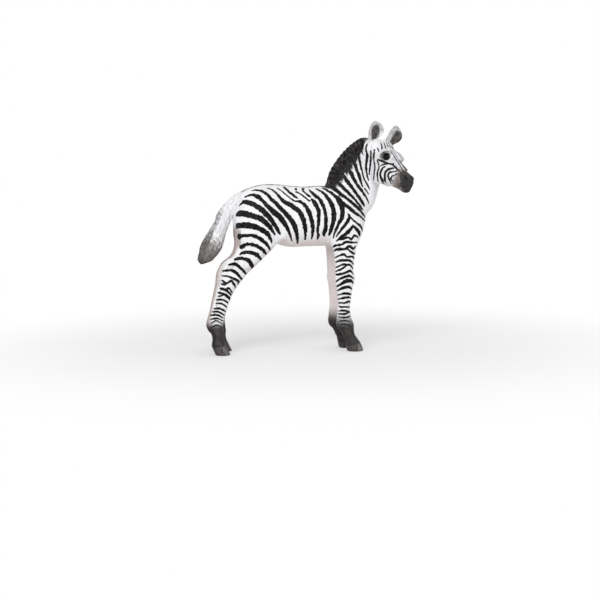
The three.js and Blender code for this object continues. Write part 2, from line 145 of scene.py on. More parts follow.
def faces_of(points, quads, ends):
    """The faces of a closed skin in one list, turned over where the skin looks inward."""
    triangles = np.concatenate([quads[:, :3], quads[:, [0, 2, 3]], ends])
    a, b, c = (points[triangles[:, corner]] for corner in range(3))
    if np.sum(a * np.cross(b, c)) < 0:
        quads, ends = quads[:, [0, 3, 2, 1]], ends[:, [0, 2, 1]]
    return quads.tolist() + ends.tolist()


def field_of(rings):
    """Signed distances of the block's cells to the skin over the rings, negative inside."""
    points, quads, ends = skin_of(rings)
    grid = openvdb.FloatGrid.createLevelSetFromPolygons(
        points.astype(np.float32),
        triangles=ends.astype(np.uint32),
        quads=quads.astype(np.uint32),
        transform=openvdb.createLinearTransform(CELL),
        halfWidth=REACH_CELLS,
    )
    values = np.empty(cells, np.float32)
    grid.copyToArray(values, ijk=tuple(int(i) for i in first_cell))
    return values


def melt(a, b, softness):
    """The two forms joined, with a fillet of about the given softness between them."""
    overlap = np.maximum(softness - np.abs(a - b), 0) / softness
    return np.minimum(a, b) - overlap * overlap * softness / 4


def press_oval(field, middle, radii, turns, softness, adds, side):
    """Adds or carves one oval form in the field, on the left for side 1 and on the right for side -1."""
    centre = np.array([middle[0], side * middle[1], middle[2]])
    lean = [math.radians(turns[0] * side), math.radians(turns[1]), math.radians(turns[2] * side)]
    turn = np.array(Euler(lean).to_matrix(), np.float32)
    reach = max(radii) + softness + 2 * CELL
    low = np.clip(np.floor((centre - reach - BLOCK_LOW) / CELL).astype(int), 0, cells)
    high = np.clip(np.ceil((centre + reach - BLOCK_LOW) / CELL).astype(int), 0, cells)
    window = tuple(slice(a, b) for a, b in zip(low, high))
    axes = [BLOCK_LOW[i] + CELL * np.arange(low[i], high[i]) - centre[i] for i in range(3)]
    place = np.stack(np.meshgrid(*axes, indexing="ij"), axis=-1).astype(np.float32) @ turn
    near = np.sqrt(np.sum((place / np.array(radii, np.float32)) ** 2, axis=-1))
    steep = np.sqrt(np.sum((place / np.array(radii, np.float32) ** 2) ** 2, axis=-1))
    oval = near * (near - 1) / np.maximum(steep, 1e-4)
    if adds:
        field[window] = melt(field[window], oval, softness)
    else:
        field[window] = -melt(-field[window], oval, softness)


def press(field, forms, sides=(-1, 1)):
    """Presses the forms into the field. A form is its middle, three radii, turns about X, Y and Z in degrees,
    softness, and whether it adds. One that is off the midplane is made on each of the sides."""
    for middle, radii, turns, softness, adds in forms:
        for side in sides if middle[1] else sides[-1:]:
            press_oval(field, middle, radii, turns, softness, adds, side)
    return field


# x and z of the middle, slant, half depth and half width, from the buttock to the breast
trunk_rows = [
    (-24.0, 44.6, 90, 1.6, 1.5),
    (-23.1, 44.4, 90, 4.6, 3.9),
    (-20.8, 44.8, 90, 8.1, 6.0),
    (-17.5, 45.2, 90, 9.2, 7.1),
    (-14.1, 45.8, 90, 9.8, 7.5),
    (-10.0, 45.9, 90, 9.8, 7.3),
    (-5.1, 44.7, 90, 10.4, 7.6),
    (-0.1, 44.5, 90, 10.2, 7.7),
    (5.0, 44.7, 90, 10.2, 7.4),
    (10.0, 44.4, 90, 9.6, 6.8),
    (13.6, 43.5, 90, 8.0, 6.0),
    (16.6, 43.0, 90, 5.6, 5.0),
    (18.5, 42.4, 90, 3.2, 3.6),
    (19.6, 42.2, 90, 1.2, 1.5),
]
trunk_forms = [
    ((12.6, 4.4, 46.6), (3.4, 2.5, 7.6), (0, -28, 0), 2.2, True),  # shoulder blade and its muscle
    ((16.0, 3.9, 41.4), (2.2, 2.0, 2.6), (0, 0, 0), 1.8, True),  # point of the shoulder
    ((9.2, 5.0, 42.6), (2.4, 2.2, 2.4), (0, 0, 0), 1.8, True),  # elbow
    ((-12.4, 5.2, 51.4), (2.6, 1.8, 1.9), (0, 20, 0), 2.2, True),  # point of the hip
    ((-18.2, 0.0, 52.3), (4.2, 2.6, 1.8), (0, -18, 0), 2.2, True),  # head of the tail
    ((-7.6, 9.3, 47.6), (3.2, 1.9, 4.6), (0, 10, 0), 2.6, False),  # hollow of the flank
    ((-11.0, 4.6, 38.6), (4.2, 1.2, 2.2), (0, -28, 0), 1.8, True),  # fold of skin from belly to thigh
    ((7.6, 8.8, 47.5), (1.5, 1.6, 6.5), (0, -24, 0), 2.2, False),  # hollow behind the shoulder
    ((20.8, 0.0, 42.2), (1.7, 0.8, 4.4), (0, 0, 0), 1.4, False),  # cleft of the breast
    ((-1.0, 0.0, 32.2), (14.0, 7.0, 2.6), (0, -1, 0), 1.6, False),  # belly drawn up
]
trunk_field = press(field_of(rings_through(spline(trunk_rows, TRUNK_RINGS), BODY_SIDES)), trunk_forms)

# Strokes of the brush round the barrel, traced on the photograph: x, y and half width in its pixels
barrel_strokes_px = [
    [(239.3, 205.5, 0.7), (241.5, 203.5, 1.5), (244, 202, 2.2), (250, 203, 2.4), (256, 206, 2.4),
     (262, 210, 2.7), (268, 216, 2.6), (273.5, 223, 2.1), (278, 230.5, 1.7), (279.8, 234, 0.9)],
    [(245, 197, 0.8), (252, 194.8, 1.5), (259, 197.5, 2.0), (265, 203.5, 1.8), (272, 210.5, 2.6),
     (279, 216.5, 2.9), (284.5, 223.5, 2.2), (288.5, 231, 1.5), (292, 241, 0.6)],
    [(252, 190.8, 0.6), (256, 190, 1.0), (264, 192, 1.6), (270, 197.5, 1.6), (276, 203.5, 1.8),
     (282, 209.5, 2.0), (289.5, 218, 2.3), (295, 227, 2.2), (297.3, 237, 1.6), (297.5, 243, 0.8)],
    [(267, 188, 0.7), (272.5, 190, 1.3), (278, 195, 1.6), (284, 201.5, 1.9), (292, 206, 2.1),
     (299.5, 212, 2.4), (303.8, 221, 2.2), (305.3, 231, 1.8), (305.2, 239.5, 0.8)],
    [(277, 188, 0.7), (281, 190.5, 0.8), (287, 195.5, 0.8), (293, 200, 0.8), (296, 201.2, 0.9),
     (300, 201.5, 1.6), (305, 205.5, 1.7), (309.5, 213, 2.1), (312, 223, 1.9), (312.8, 232, 1.6),
     (311.5, 239, 0.7)],
    [(284, 187, 1.2), (289, 192, 1.4), (295, 196.5, 1.3), (297.5, 198.3, 0.7)],
    [(296, 188.4, 0.9), (296, 189.6, 1.2)],
    [(296.5, 192, 1.1), (302, 195, 0.9), (308, 200, 0.9), (310, 200.8, 0.9)],
    [(303, 188.5, 1.3), (303.2, 191, 1.0), (308, 195, 1.2), (310.5, 197, 0.7)],
    [(311.5, 199, 1.0), (314, 202, 2.2), (318.3, 210.5, 1.9), (318.8, 221, 1.6), (317.5, 231, 1.3),
     (318.3, 235, 1.5), (317.5, 239, 0.8)],
    [(309.5, 190, 0.9), (314, 194.5, 1.7), (320, 200, 1.8), (324, 208, 1.8), (326, 219, 1.8),
     (325.3, 230, 1.9), (323.8, 234, 1.7), (324.5, 236, 0.8)],
    [(316.5, 189, 1.1), (322, 192, 1.3), (327, 197, 1.7), (331.5, 204, 2.0), (334, 213.5, 2.3),
     (333, 223, 2.1), (330.3, 232, 1.5), (329, 235, 0.9)],
    [(323, 188.2, 1.3), (329, 191.5, 1.5), (335, 196, 1.7), (339.5, 201, 2.6), (342.3, 209, 2.2),
     (341.8, 217, 1.9), (338.5, 224.5, 1.6), (335, 232, 1.1), (333.3, 238, 0.5)],
    [(341, 202, 2.2), (348, 207, 1.9), (354, 212, 1.8), (360, 216, 1.5), (365, 221, 0.7)],
]

# Neck and head: one moulding, plugged into the trunk and bonded, with the lids, the nostrils and the line
# of the mouth cut in. The neck bends to its right and the head turns further, but they are sculpted
# straight and turned later.
neck_rows = [
    (13.25, 47.65, -49, 8.0, 3.8),
    (14.9, 51.3, -51, 8.2, 4.7),
    (17.0, 54.4, -55, 8.35, 4.6),
    (18.9, 57.2, -59, 8.1, 4.2),
    (20.6, 59.7, -65, 7.5, 3.95),
    (22.3, 61.9, -70, 6.9, 3.8),
    (24.4, 63.7, -75, 6.3, 3.4),
]
head_rows = [
    (24.5, 63.0, 90, 5.2, 3.0),
    (26.5, 62.35, 90, 7.3, 3.9),
    (29.3, 60.8, 93, 6.6, 4.3),
    (31.8, 58.8, 93, 5.4, 3.4),
    (33.7, 57.0, 93, 4.5, 2.9),
    (35.4, 55.6, 92, 3.7, 2.75),
    (36.7, 55.1, 92, 3.0, 2.6),
    (37.5, 55.0, 92, 2.1, 2.1),
    (37.9, 55.0, 92, 1.0, 1.1),
]
HEAD_EGG = 0.08  # the head is wider above than below by this share
NECK_RINGS = 40
HEAD_RINGS = 48
JAW_SOFTNESS = 1.6
EYE = (30.9, 3.5, 63.35)
head_forms = [
    ((27.2, 3.0, 58.8), (3.5, 1.5, 4.2), (0, 8, 0), 1.0, True),  # cheek
    ((24.7, 3.3, 66.8), (3.2, 2.4, 3.3), (0, 0, 0), 2.6, True),  # hair round the foot of the ear
    ((29.7, 3.1, 65.2), (2.0, 1.0, 0.8), (0, 22, 0), 1.0, True),  # brow
    ((32.4, 2.4, 61.1), (3.2, 0.5, 0.6), (0, 36, 0), 0.8, True),  # cheekbone running to the muzzle
    ((EYE[0] - 0.2, EYE[1] - 0.65, EYE[2]), (2.3, 1.25, 1.5), (0, 4, 0), 0.8, True),  # eyelids
    ((EYE[0], EYE[1] + 0.75, EYE[2]), (1.6, 0.9, 0.95), (0, 4, 0), 0.35, False),  # opening between them
    ((34.0, 3.5, 57.6), (2.2, 1.1, 1.0), (0, 30, 0), 1.2, False),  # hollow above the mouth
    ((36.6, 1.6, 56.0), (1.5, 1.1, 1.2), (0, 20, 0), 0.8, True),  # wing of the nostril
    ((37.4, 2.0, 55.9), (0.9, 0.6, 0.36), (0, 56, -20), 0.5, False),  # nostril
    ((35.9, 0.0, 52.5), (1.4, 1.4, 0.9), (0, 14, 0), 0.8, True),  # chin
    ((36.0, 2.3, 53.3), (2.6, 0.9, 0.16), (0, 8, 14), 0.3, False),  # line of the mouth
    ((38.2, 0.0, 53.5), (0.8, 1.6, 0.16), (0, 0, 0), 0.3, False),  # mouth at the front
    ((23.8, 3.8, 60.6), (0.9, 0.9, 3.0), (0, 10, 0), 1.8, False),  # edge of the jaw against the neck
    ((20.6, 5.2, 57.5), (0.9, 1.4, 6.0), (0, 38, 0), 1.6, False),  # groove along the throat
]
neck_field = field_of(rings_through(spline(neck_rows, NECK_RINGS), BODY_SIDES))
head_field = field_of(rings_through(spline(head_rows, HEAD_RINGS), BODY_SIDES, egg=HEAD_EGG))
head_field = press(melt(neck_field, head_field, JAW_SOFTNESS), head_forms)

# Strokes round the neck and on the face, traced as those of the barrel
neck_strokes_px = [
    [(327, 183, 2.5), (331, 186, 2.2), (339.5, 193, 2.1), (348, 199.5, 1.6), (357, 207, 1.8),
     (364, 215.5, 1.1), (365.5, 219, 0.6)],
    [(334, 178, 1.2), (340.5, 185, 1.8), (347.5, 192, 1.6), (354, 198.5, 1.2), (360.5, 206.5, 1.1),
     (362.8, 210, 0.6)],
    [(342, 173, 1.5), (347, 181, 1.9), (353, 189, 1.6), (358.5, 196.5, 1.5), (363.5, 204.5, 1.4),
     (364.3, 206.5, 0.6)],
    [(347.5, 166.5, 1.7), (352, 175, 2.0), (356, 183, 1.7), (362, 191, 1.4), (367.3, 199.5, 1.2),
     (368.8, 203.5, 0.6)],
    [(352.5, 158.5, 1.9), (356.3, 168.5, 1.6), (359.7, 178, 1.6), (362.5, 186.5, 0.8)],
    [(364.5, 188.5, 1.0), (366.5, 191, 0.9), (368.5, 194, 0.7)],
    [(357.5, 153, 1.5), (360, 161.5, 1.3), (362, 170.5, 1.3), (364.3, 179, 1.4), (368.3, 186.5, 0.9),
     (369.5, 189, 0.5)],
    [(362, 144, 1.2), (362.8, 148, 1.2), (362.2, 151.5, 1.1), (363.3, 155, 0.8)],
    [(367.5, 143, 0.7), (365.8, 149, 1.3), (367.3, 155, 1.4), (366.1, 165, 1.4), (367, 175, 1.2),
     (368.8, 180.5, 0.6)],
    [(371, 151, 0.9), (370.8, 159, 1.0), (370, 167, 1.0), (369.3, 174.5, 0.8)],
    [(374.5, 150, 0.8), (373.6, 158, 1.0), (374.8, 166, 0.9), (374.3, 173, 0.9), (373.5, 180, 0.7)],
    [(377, 160.5, 0.6), (379, 166.5, 0.9), (377.3, 173.5, 0.9), (378, 181.5, 0.6)],
]
brow_strokes_px = [
    [(377.6, 148.2, 0.5), (378.4, 150, 0.7), (378.9, 152.1, 0.5)],
    [(380.6, 143, 0.5), (381.8, 145.4, 0.7), (381.9, 149.2, 0.6)],
    [(383.9, 142.5, 0.6), (384.9, 145.5, 0.8), (385.7, 148.5, 0.6)],
    [(386.3, 142.5, 0.6), (387.8, 146.5, 0.8)],
    [(388, 141.8, 0.5), (390, 145, 0.6), (393, 148.3, 0.5)],
    [(382, 153.2, 0.3), (384.5, 151.8, 0.35), (387.5, 151.3, 0.4), (390.2, 152.3, 0.3)],
]
face_strokes_px = [
    [(377.8, 159.5, 0.6), (383, 161.5, 0.9), (388, 163.5, 0.8), (393, 165, 0.8), (398, 170, 0.9),
     (403.5, 176, 0.8)],
    [(380.5, 165.8, 0.5), (384, 164.3, 0.7), (388, 164, 0.6)],
    [(385, 166.5, 0.6), (382.5, 168.5, 0.8), (380.3, 174, 0.9), (382.5, 181.5, 0.9), (384, 184, 0.5)],
    [(394, 168, 0.6), (388, 169.5, 0.9), (385.2, 173, 0.9), (384.8, 179, 0.9), (385.8, 182.5, 0.6)],
    [(396.5, 171.3, 0.6), (390, 172.5, 0.8), (388.1, 176, 0.8), (391, 183.5, 0.6)],
    [(398.5, 173.5, 0.6), (392.5, 176, 0.7), (391, 179, 0.7), (393, 182, 0.5)],
    [(390.5, 150.5, 0.5), (396.5, 160, 0.7), (402.5, 169.5, 0.6), (405, 173, 0.5)],
    [(400, 161, 0.6), (406, 169.5, 0.8), (411.5, 176.5, 0.9)],
    [(393, 163.3, 0.6), (393.3, 163.9, 0.7)],
]

# Forelegs: solid and straight, each plugged into the shoulder by its root and bonded. Knees, fetlocks,
# tendons and the clefts of the heels are modelled. The left one stands a little behind the right one.
FORE_STANCE = 4.4  # from the figure's midplane to the leg's own
FORE_STEP = -1.3
FORE_STEP_FADE = (30.25, 45.1)  # heights over which the step dies out
LEG_RINGS = 110
LEG_SIDES = 36
foreleg_rows = [
    (10.8, 46.8, 0, 2.8, 0.9),
    (11.8, 43.7, 0, 4.4, 1.75),
    (12.6, 40.0, 0, 5.4, 2.5),
    (12.8, 36.5, 3, 4.6, 2.65),
    (12.5, 33.3, 2, 3.7, 2.5),
    (12.4, 29.6, 0, 3.2, 2.35),
    (12.3, 26.6, 0, 3.0, 2.2),
    (12.4, 23.8, -3, 3.1, 2.3),
    (12.3, 20.4, -2, 2.6, 1.9),
    (12.1, 15.4, 0, 2.1, 1.6),
    (12.0, 11.5, 2, 2.4, 1.86),
    (12.4, 8.8, 5, 2.9, 2.15),
    (13.2, 6.8, 8, 2.2, 1.85),
    (13.7, 5.2, 8, 2.0, 1.8),
    (14.3, 4.0, 8, 2.15, 2.0),
    (14.95, 2.6, 6, 2.5, 2.35),
    (15.5, 1.0, 3, 2.7, 2.55),
    (15.75, 0.0, 0, 2.65, 2.6),
    (15.8, -1.4, 0, 2.6, 2.55),
]


def both_sides(middle, radii, turns, softness, adds):
    """A form on the outside of a leg and its twin on the inside."""
    x, y, z = middle
    return [((x, out, z), radii, turns, softness, adds) for out in (y, -y)]


# The forms' Y is measured outward from the leg's own midplane
foreleg_forms = [
    ((14.4, 0.0, 24.4), (1.3, 1.7, 1.9), (0, 0, 0), 1.0, True),  # knee cap
    ((10.3, 0.0, 24.0), (0.8, 0.8, 1.2), (0, 0, 0), 0.8, True),  # bone behind the knee
    *both_sides((11.2, 1.95, 17.2), (0.35, 0.5, 4.6), (0, 0, 0), 0.7, False),  # groove of the tendon
    ((10.8, 0.0, 8.6), (0.9, 1.2, 1.3), (0, 0, 0), 0.6, True),  # back of the fetlock
    *both_sides((12.4, 1.6, 9.4), (1.3, 0.7, 1.3), (0, 0, 0), 0.8, True),  # fetlock joint
    ((12.4, 0.0, 2.6), (0.8, 0.5, 2.6), (0, 20, 0), 0.6, False),  # cleft between the heels
]


def stepped(rows, step, fade):
    """The rows moved forward by the step, which fades out towards the body."""
    moved = np.array(rows, float)
    moved[:, 0] += step * (1 - smoothstep(moved[:, 1], *fade))
    return moved


def leg_fields(rows, forms, stance, step, fade):
    """The right leg, under -1, and the left one with its step, under 1, each with its forms."""
    fields = {}
    for side, own in ((-1, 0.0), (1, step)):
        rings = rings_through(spline(stepped(rows, own, fade), LEG_RINGS), LEG_SIDES, y=side * stance)
        placed = []
        for (x, y, z), *rest in forms:
            forward = own * (1 - float(smoothstep(z, *fade)))
            placed.append(((x + forward, stance + y, z), *rest))
        fields[side] = press(field_of(rings), placed, sides=(side,))
    return fields


fore_fields = leg_fields(foreleg_rows, foreleg_forms, FORE_STANCE, FORE_STEP, FORE_STEP_FADE)

# Strokes on the shoulder, and the bands down the leg, traced as those of the barrel
shoulder_strokes_px = [
    [(348.5, 214.5, 0.9), (349.5, 217, 1.6), (346.5, 223.5, 1.6), (341.5, 229.5, 1.2), (337, 235.5, 0.8),
     (336.3, 237, 0.4)],
    [(350.5, 217.5, 0.9), (355, 221.5, 0.9), (360.5, 226, 1.4), (363, 231.5, 0.8)],
    [(353, 226, 1.3), (348, 232, 1.7), (342, 237, 1.7), (336.5, 241, 0.5)],
    [(353, 226, 1.3), (358, 231, 1.6), (359.5, 234, 1.6), (359.8, 236, 0.7)],
    [(340, 239.5, 1.2), (346, 237.8, 1.2), (348.5, 237.5, 0.9), (351.3, 239.2, 1.2), (354.5, 235.3, 1.0),
     (358, 237.5, 0.8)],
]
foreleg_strokes_px = [
    [(333, 247, 0.5), (335.5, 245.5, 0.9), (341.5, 244.5, 0.9), (346, 242, 1.0), (352, 242.5, 0.9),
     (357, 242.5, 0.6)],
    [(334, 251, 0.5), (337, 249.5, 1.1), (345, 249, 1.1), (349.5, 246.2, 1.0), (353, 248.7, 1.0),
     (355.5, 246.5, 0.6)],
    [(348, 249.5, 0.7), (353, 253.3, 0.9), (355.3, 253.6, 0.6)],
    [(335, 257.8, 0.5), (341, 255.2, 0.9), (344, 254.6, 0.9), (347, 256.6, 0.9), (352, 256.5, 0.9),
     (354.8, 259, 0.5)],
    [(335.5, 262.5, 0.5), (341, 260.3, 1.0), (349.5, 260.7, 1.0), (353.8, 264.5, 0.5)],
    [(335.5, 267.8, 0.5), (342, 265, 0.9), (347, 264.8, 0.9), (350, 265, 0.9), (353.5, 269.5, 0.5)],
    [(335.5, 271.5, 0.5), (342, 268.8, 0.9), (347, 265.2, 0.7)],
    [(335.5, 274.5, 0.5), (338.5, 274.6, 1.0), (345, 273, 1.0), (350, 270.8, 0.9), (353.5, 274.3, 0.5)],
    [(336, 281.5, 0.5), (342, 278, 1.0), (349, 275.9, 1.0), (353.5, 278.5, 0.5)],
    [(336.3, 286.8, 0.6), (342, 283.5, 1.1), (346.5, 281, 1.5), (351, 280.8, 1.2), (353.5, 284, 0.4)],
    [(337, 291, 0.5), (343, 288, 1.1), (349, 287, 1.1), (352.5, 290, 0.5)],
    [(337, 295.2, 0.5), (343, 293.7, 0.9), (349, 293.8, 0.9), (351.8, 295, 0.5)],
    [(337.5, 299.5, 0.5), (343.5, 298, 0.9), (348.5, 297.3, 0.9), (351, 298.3, 0.5)],
    [(338.5, 302.8, 0.5), (344.5, 303, 0.9), (349, 301.5, 0.9), (350.8, 303, 0.5)],
    [(339, 306.5, 0.5), (342, 307, 0.8), (350.3, 307, 0.5)],
    [(338, 311, 0.5), (344.5, 310.5, 0.9), (350, 312, 0.5)],
    [(338, 313.7, 0.5), (344.5, 314, 0.9), (349.5, 312, 0.5)],
    [(339, 317, 0.5), (345, 317.5, 0.7), (350, 316.3, 0.5)],
    [(340, 321, 0.5), (345, 320.6, 0.6), (350, 321.3, 0.4)],
    [(341, 324.5, 0.4), (345, 324.2, 0.5), (350, 325.5, 0.4)],
]

# Hind legs: solid, each plugged into the hip by its root and bonded. Thigh, second thigh, the point of the
# hock with its cord, and the fetlock are modelled. The left one stands a little ahead of the right one.
HIND_STANCE = 4.8
HIND_STEP = 1.4
HIND_STEP_FADE = (27.5, 44.0)
hindleg_rows = [
    (-15.5, 47.6, 0, 4.5, 1.0),
    (-15.8, 45.4, 0, 6.0, 2.2),
    (-16.1, 43.2, 0, 6.8, 2.9),
    (-17.2, 39.1, -4, 6.5, 3.0),
    (-18.2, 35.2, -8, 5.8, 2.8),
    (-20.6, 31.6, -11, 4.9, 2.5),
    (-24.1, 28.6, -15, 4.8, 2.2),
    (-26.1, 25.8, -19, 4.3, 2.1),
    (-27.6, 22.1, -18, 3.35, 1.95),
    (-28.9, 18.4, -11, 2.9, 1.7),
    (-30.2, 14.0, -7, 2.6, 1.65),
    (-31.05, 10.6, 2, 2.8, 2.05),
    (-30.75, 8.6, 2, 2.6, 2.0),
    (-30.1, 7.0, -2, 2.15, 1.85),
    (-30.0, 5.8, -2, 1.95, 1.75),
    (-30.0, 4.4, -2, 2.1, 1.9),
    (-29.75, 2.8, -2, 2.5, 2.3),
    (-28.75, 0.6, 0, 2.5, 2.45),
    (-28.4, 0.0, 0, 2.4, 2.4),
    (-28.1, -1.4, 0, 2.3, 2.3),
]
hindleg_forms = [
    ((-14.2, 0.9, 37.2), (2.4, 2.1, 3.2), (0, 10, 0), 1.8, True),  # stifle
    ((-19.5, 1.6, 41.0), (2.6, 1.7, 5.0), (0, 14, 0), 1.8, True),  # muscle of the thigh
    ((-19.5, 1.2, 31.8), (2.2, 1.5, 3.4), (0, 36, 0), 1.4, True),  # second thigh
    *both_sides((-25.4, 2.2, 29.6), (0.5, 0.9, 2.6), (0, 48, 0), 0.9, False),  # hollow before the cord
    ((-29.0, 0.0, 27.2), (0.8, 0.9, 1.0), (0, 30, 0), 0.7, True),  # point of the hock
    *both_sides((-24.4, 1.2, 25.4), (1.4, 0.9, 1.6), (0, 20, 0), 0.9, True),  # hock joint
    *both_sides((-30.6, 1.75, 17.6), (0.35, 0.5, 4.4), (0, 16, 0), 0.7, False),  # groove of the tendon
    ((-32.2, 0.0, 9.2), (0.8, 1.1, 1.3), (0, 0, 0), 0.6, True),  # back of the fetlock
    *both_sides((-30.4, 1.5, 9.8), (1.2, 0.6, 1.3), (0, 0, 0), 0.8, True),  # fetlock joint
    ((-31.6, 0.0, 2.4), (0.8, 0.5, 2.6), (0, 0, 0), 0.6, False),  # cleft between the heels
]
hind_fields = leg_fields(hindleg_rows, hindleg_forms, HIND_STANCE, HIND_STEP, HIND_STEP_FADE)

# Strokes over the rump and the thigh, and the bands down the leg, traced as those of the barrel
hindleg_strokes_px = [
    [(236.5, 215, 1.5), (239, 213.5, 2.5), (246, 214, 2.5), (254, 216.3, 2.2), (261.5, 219.3, 2.2),
     (268, 225, 2.0), (273, 231.5, 1.3), (274.8, 234.5, 0.7)],
    [(236.5, 226, 2.3), (244, 225.3, 2.2), (252, 226, 2.3), (260, 229, 2.0), (267, 233.3, 1.9),
     (271, 240, 1.3), (271.5, 243, 0.7)],
    [(239.5, 236.5, 2.3), (242, 236, 1.5), (250, 235.3, 1.3), (255.5, 236.3, 1.5), (262, 240.3, 1.6),
     (267.5, 245, 1.3), (270, 250, 0.7)],
    [(241.5, 247, 1.8), (247, 244.2, 1.3), (255, 245.3, 1.4), (262, 249.3, 1.5), (266.3, 254.3, 0.9)],
    [(240, 254.7, 0.6), (242.5, 253, 1.2), (250, 252.3, 1.4), (257, 255, 1.7), (261.3, 260, 0.9)],
    [(235, 259.5, 1.2), (241.5, 258.3, 1.5), (248.5, 260.5, 1.6), (252, 265.5, 1.6), (252.7, 268, 1.3)],
    [(228.5, 265, 0.7), (235, 264, 1.3), (241, 268.5, 1.2), (246, 273.8, 0.9)],
    [(223.5, 270.8, 1.0), (231, 270.3, 1.1), (236.5, 273, 1.3), (242, 279.5, 0.9)],
    [(222.5, 275.8, 0.8), (230, 277, 0.9), (236.5, 280, 1.1), (238.8, 282, 1.2), (238, 284, 0.8)],
    [(222, 280.5, 0.8), (226.5, 283.3, 1.0), (231, 281, 1.0), (234.5, 285, 0.95), (235.2, 287.8, 0.6)],
    [(221.5, 283.8, 0.6), (224.5, 284.5, 0.9), (228, 283, 0.8)],
    [(220.5, 288.5, 0.8), (226.5, 290.5, 1.1), (231.3, 295, 0.7)],
    [(226.5, 289.5, 0.8), (229, 288.3, 0.9), (232.3, 292.8, 0.6)],
    [(218.5, 292.5, 0.8), (223.5, 294, 1.0), (228.5, 297.5, 1.2), (230, 300, 0.7)],
    [(218, 296.3, 0.5), (221, 296, 0.7), (223.5, 294.8, 0.7)],
    [(216.5, 299.8, 0.6), (223, 299.8, 0.9), (228, 302.8, 0.6)],
    [(216, 303.5, 0.6), (222, 303.8, 0.8), (227, 307.5, 0.6)],
    [(213.5, 308.8, 0.6), (220, 308.5, 0.9), (226, 312, 0.6)],
    [(212.5, 311.8, 0.6), (219, 312, 0.9), (224.3, 315.3, 0.6)],
    [(210.5, 315.3, 0.6), (217, 315, 0.9), (223, 318, 0.6)],
    [(210.5, 319.5, 0.5), (217, 318.3, 0.7), (223, 321, 0.5)],
    [(211, 323.5, 0.4), (216.5, 320.9, 0.6), (222.5, 324, 0.4)],
    [(211, 327.5, 0.4), (217, 325.3, 0.6), (222, 327.8, 0.4)],
]

# Coat: the paint that runs over trunk, neck, head and legs once they are bonded. White with satin black
# stripes brushed on by hand, a rosy grey belly and inner legs, sooty feet and a dark muzzle. The fields of
# those pieces are run together into one skin, painted, and then cut apart again along the seams.
NECK_ROOT = np.array([14.04, 0.0, 47.66])
POLL = np.array([25.04, 0.0, 63.96])
NECK_LENGTH = 20.0
HEAD_LENGTH = 19.0
NECK_TURN = 20.0
NECK_BENDS = (0.2, 1.0)  # shares of the neck's length between which it bends
HEAD_TURN = 29.0
HEAD_BENDS = (-0.32, -0.1)  # shares of the head's length ahead of the poll, over which its turn sets in
HEAD_AXIS_LEAN = math.radians(18.0)
HEAD_LIFT = 3.2
neck_axis = (POLL - NECK_ROOT) / np.linalg.norm(POLL - NECK_ROOT)
head_axis = np.array([math.sin(HEAD_AXIS_LEAN), 0.0, math.cos(HEAD_AXIS_LEAN)])


def spun(points, centre, axis, angles):
    """The points turned about an axis through the centre, each by its own angle in degrees."""
    arm = points - centre
    angle = np.radians(angles)[:, None]
    out = np.cross(np.broadcast_to(axis, arm.shape), arm)
    along = axis * (arm @ axis)[:, None]
    return centre + arm * np.cos(angle) + out * np.sin(angle) + along * (1 - np.cos(angle))


def posed(points):
    """Straight places in the figure's pose: the neck bends to its right and the head turns further."""
    points = np.asarray(points, float)
    up_neck = (points - NECK_ROOT) @ neck_axis / NECK_LENGTH
    on_head = smoothstep((points[:, 0] - POLL[0]) / HEAD_LENGTH, *HEAD_BENDS)
    bend = NECK_TURN * (smoothstep(up_neck, *NECK_BENDS) * (1 - on_head) + on_head)
    lifted = spun(points, POLL, np.array([0.0, 1.0, 0.0]), -HEAD_LIFT * on_head)
    turned = spun(lifted, POLL, head_axis, -HEAD_TURN * on_head)
    return spun(turned, NECK_ROOT, np.array([0.0, 0.0, 1.0]), -bend)


def object_of(name, points, faces):
    """A smooth mesh object of straight places, turned to the pose and set in the frame, in metres."""
    mesh = bpy.data.meshes.new(name)
    mesh.from_pydata(((posed(points) + PLACE) * MM).tolist(), [], faces)
    mesh.shade_smooth()
    piece = bpy.data.objects.new(name, mesh)
    bpy.context.scene.collection.objects.link(piece)
    return piece


def corner_values(field, points):
    """The field at any points, blended from the eight cells about each."""
    place = (points - BLOCK_LOW) / CELL
    base = np.clip(np.floor(place).astype(int), 0, np.array(cells) - 2)
    t = place - base
    total = np.zeros(len(points))
    for step in np.ndindex(2, 2, 2):
        weight = np.prod(np.where(np.array(step), t, 1 - t), axis=1)
        total += weight * field[tuple((base + step).T)]
    return total


NECK_FILLET = 2.6
FORE_FILLET = 2.2
HIND_FILLET = 2.6
SOLE_SOFTNESS = 0.3
coat_field = melt(trunk_field, head_field, NECK_FILLET)
for side in (-1, 1):
    coat_field = melt(coat_field, fore_fields[side], FORE_FILLET)
    coat_field = melt(coat_field, hind_fields[side], HIND_FILLET)
height = BLOCK_LOW[2] + CELL * np.arange(cells[2], dtype=np.float32)
coat_field = -melt(-coat_field, np.broadcast_to(height, cells) + 0 * coat_field, SOLE_SOFTNESS)
grid = openvdb.FloatGrid()
grid.background = CELL * REACH_CELLS
grid.copyFromArray(coat_field, ijk=tuple(int(i) for i in first_cell))
grid.transform = openvdb.createLinearTransform(CELL)
coat_points, coat_quads = grid.convertToQuads(isovalue=0.0)
coat_points = np.asarray(coat_points, float)
coat_quads = np.asarray(coat_quads)
coat_posed = posed(coat_points)


def normals_of(points, quads):
    """Outward normals of the points, summed over the quads about each."""
    across = points[quads[:, 2]] - points[quads[:, 0]]
    along = points[quads[:, 3]] - points[quads[:, 1]]
    facing = np.cross(across, along)
    total = np.zeros_like(points)
    for corner in range(4):
        for axis in range(3):
            total[:, axis] += np.bincount(quads[:, corner], facing[:, axis], len(points))
    return total / np.maximum(np.linalg.norm(total, axis=1), 1e-9)[:, None]


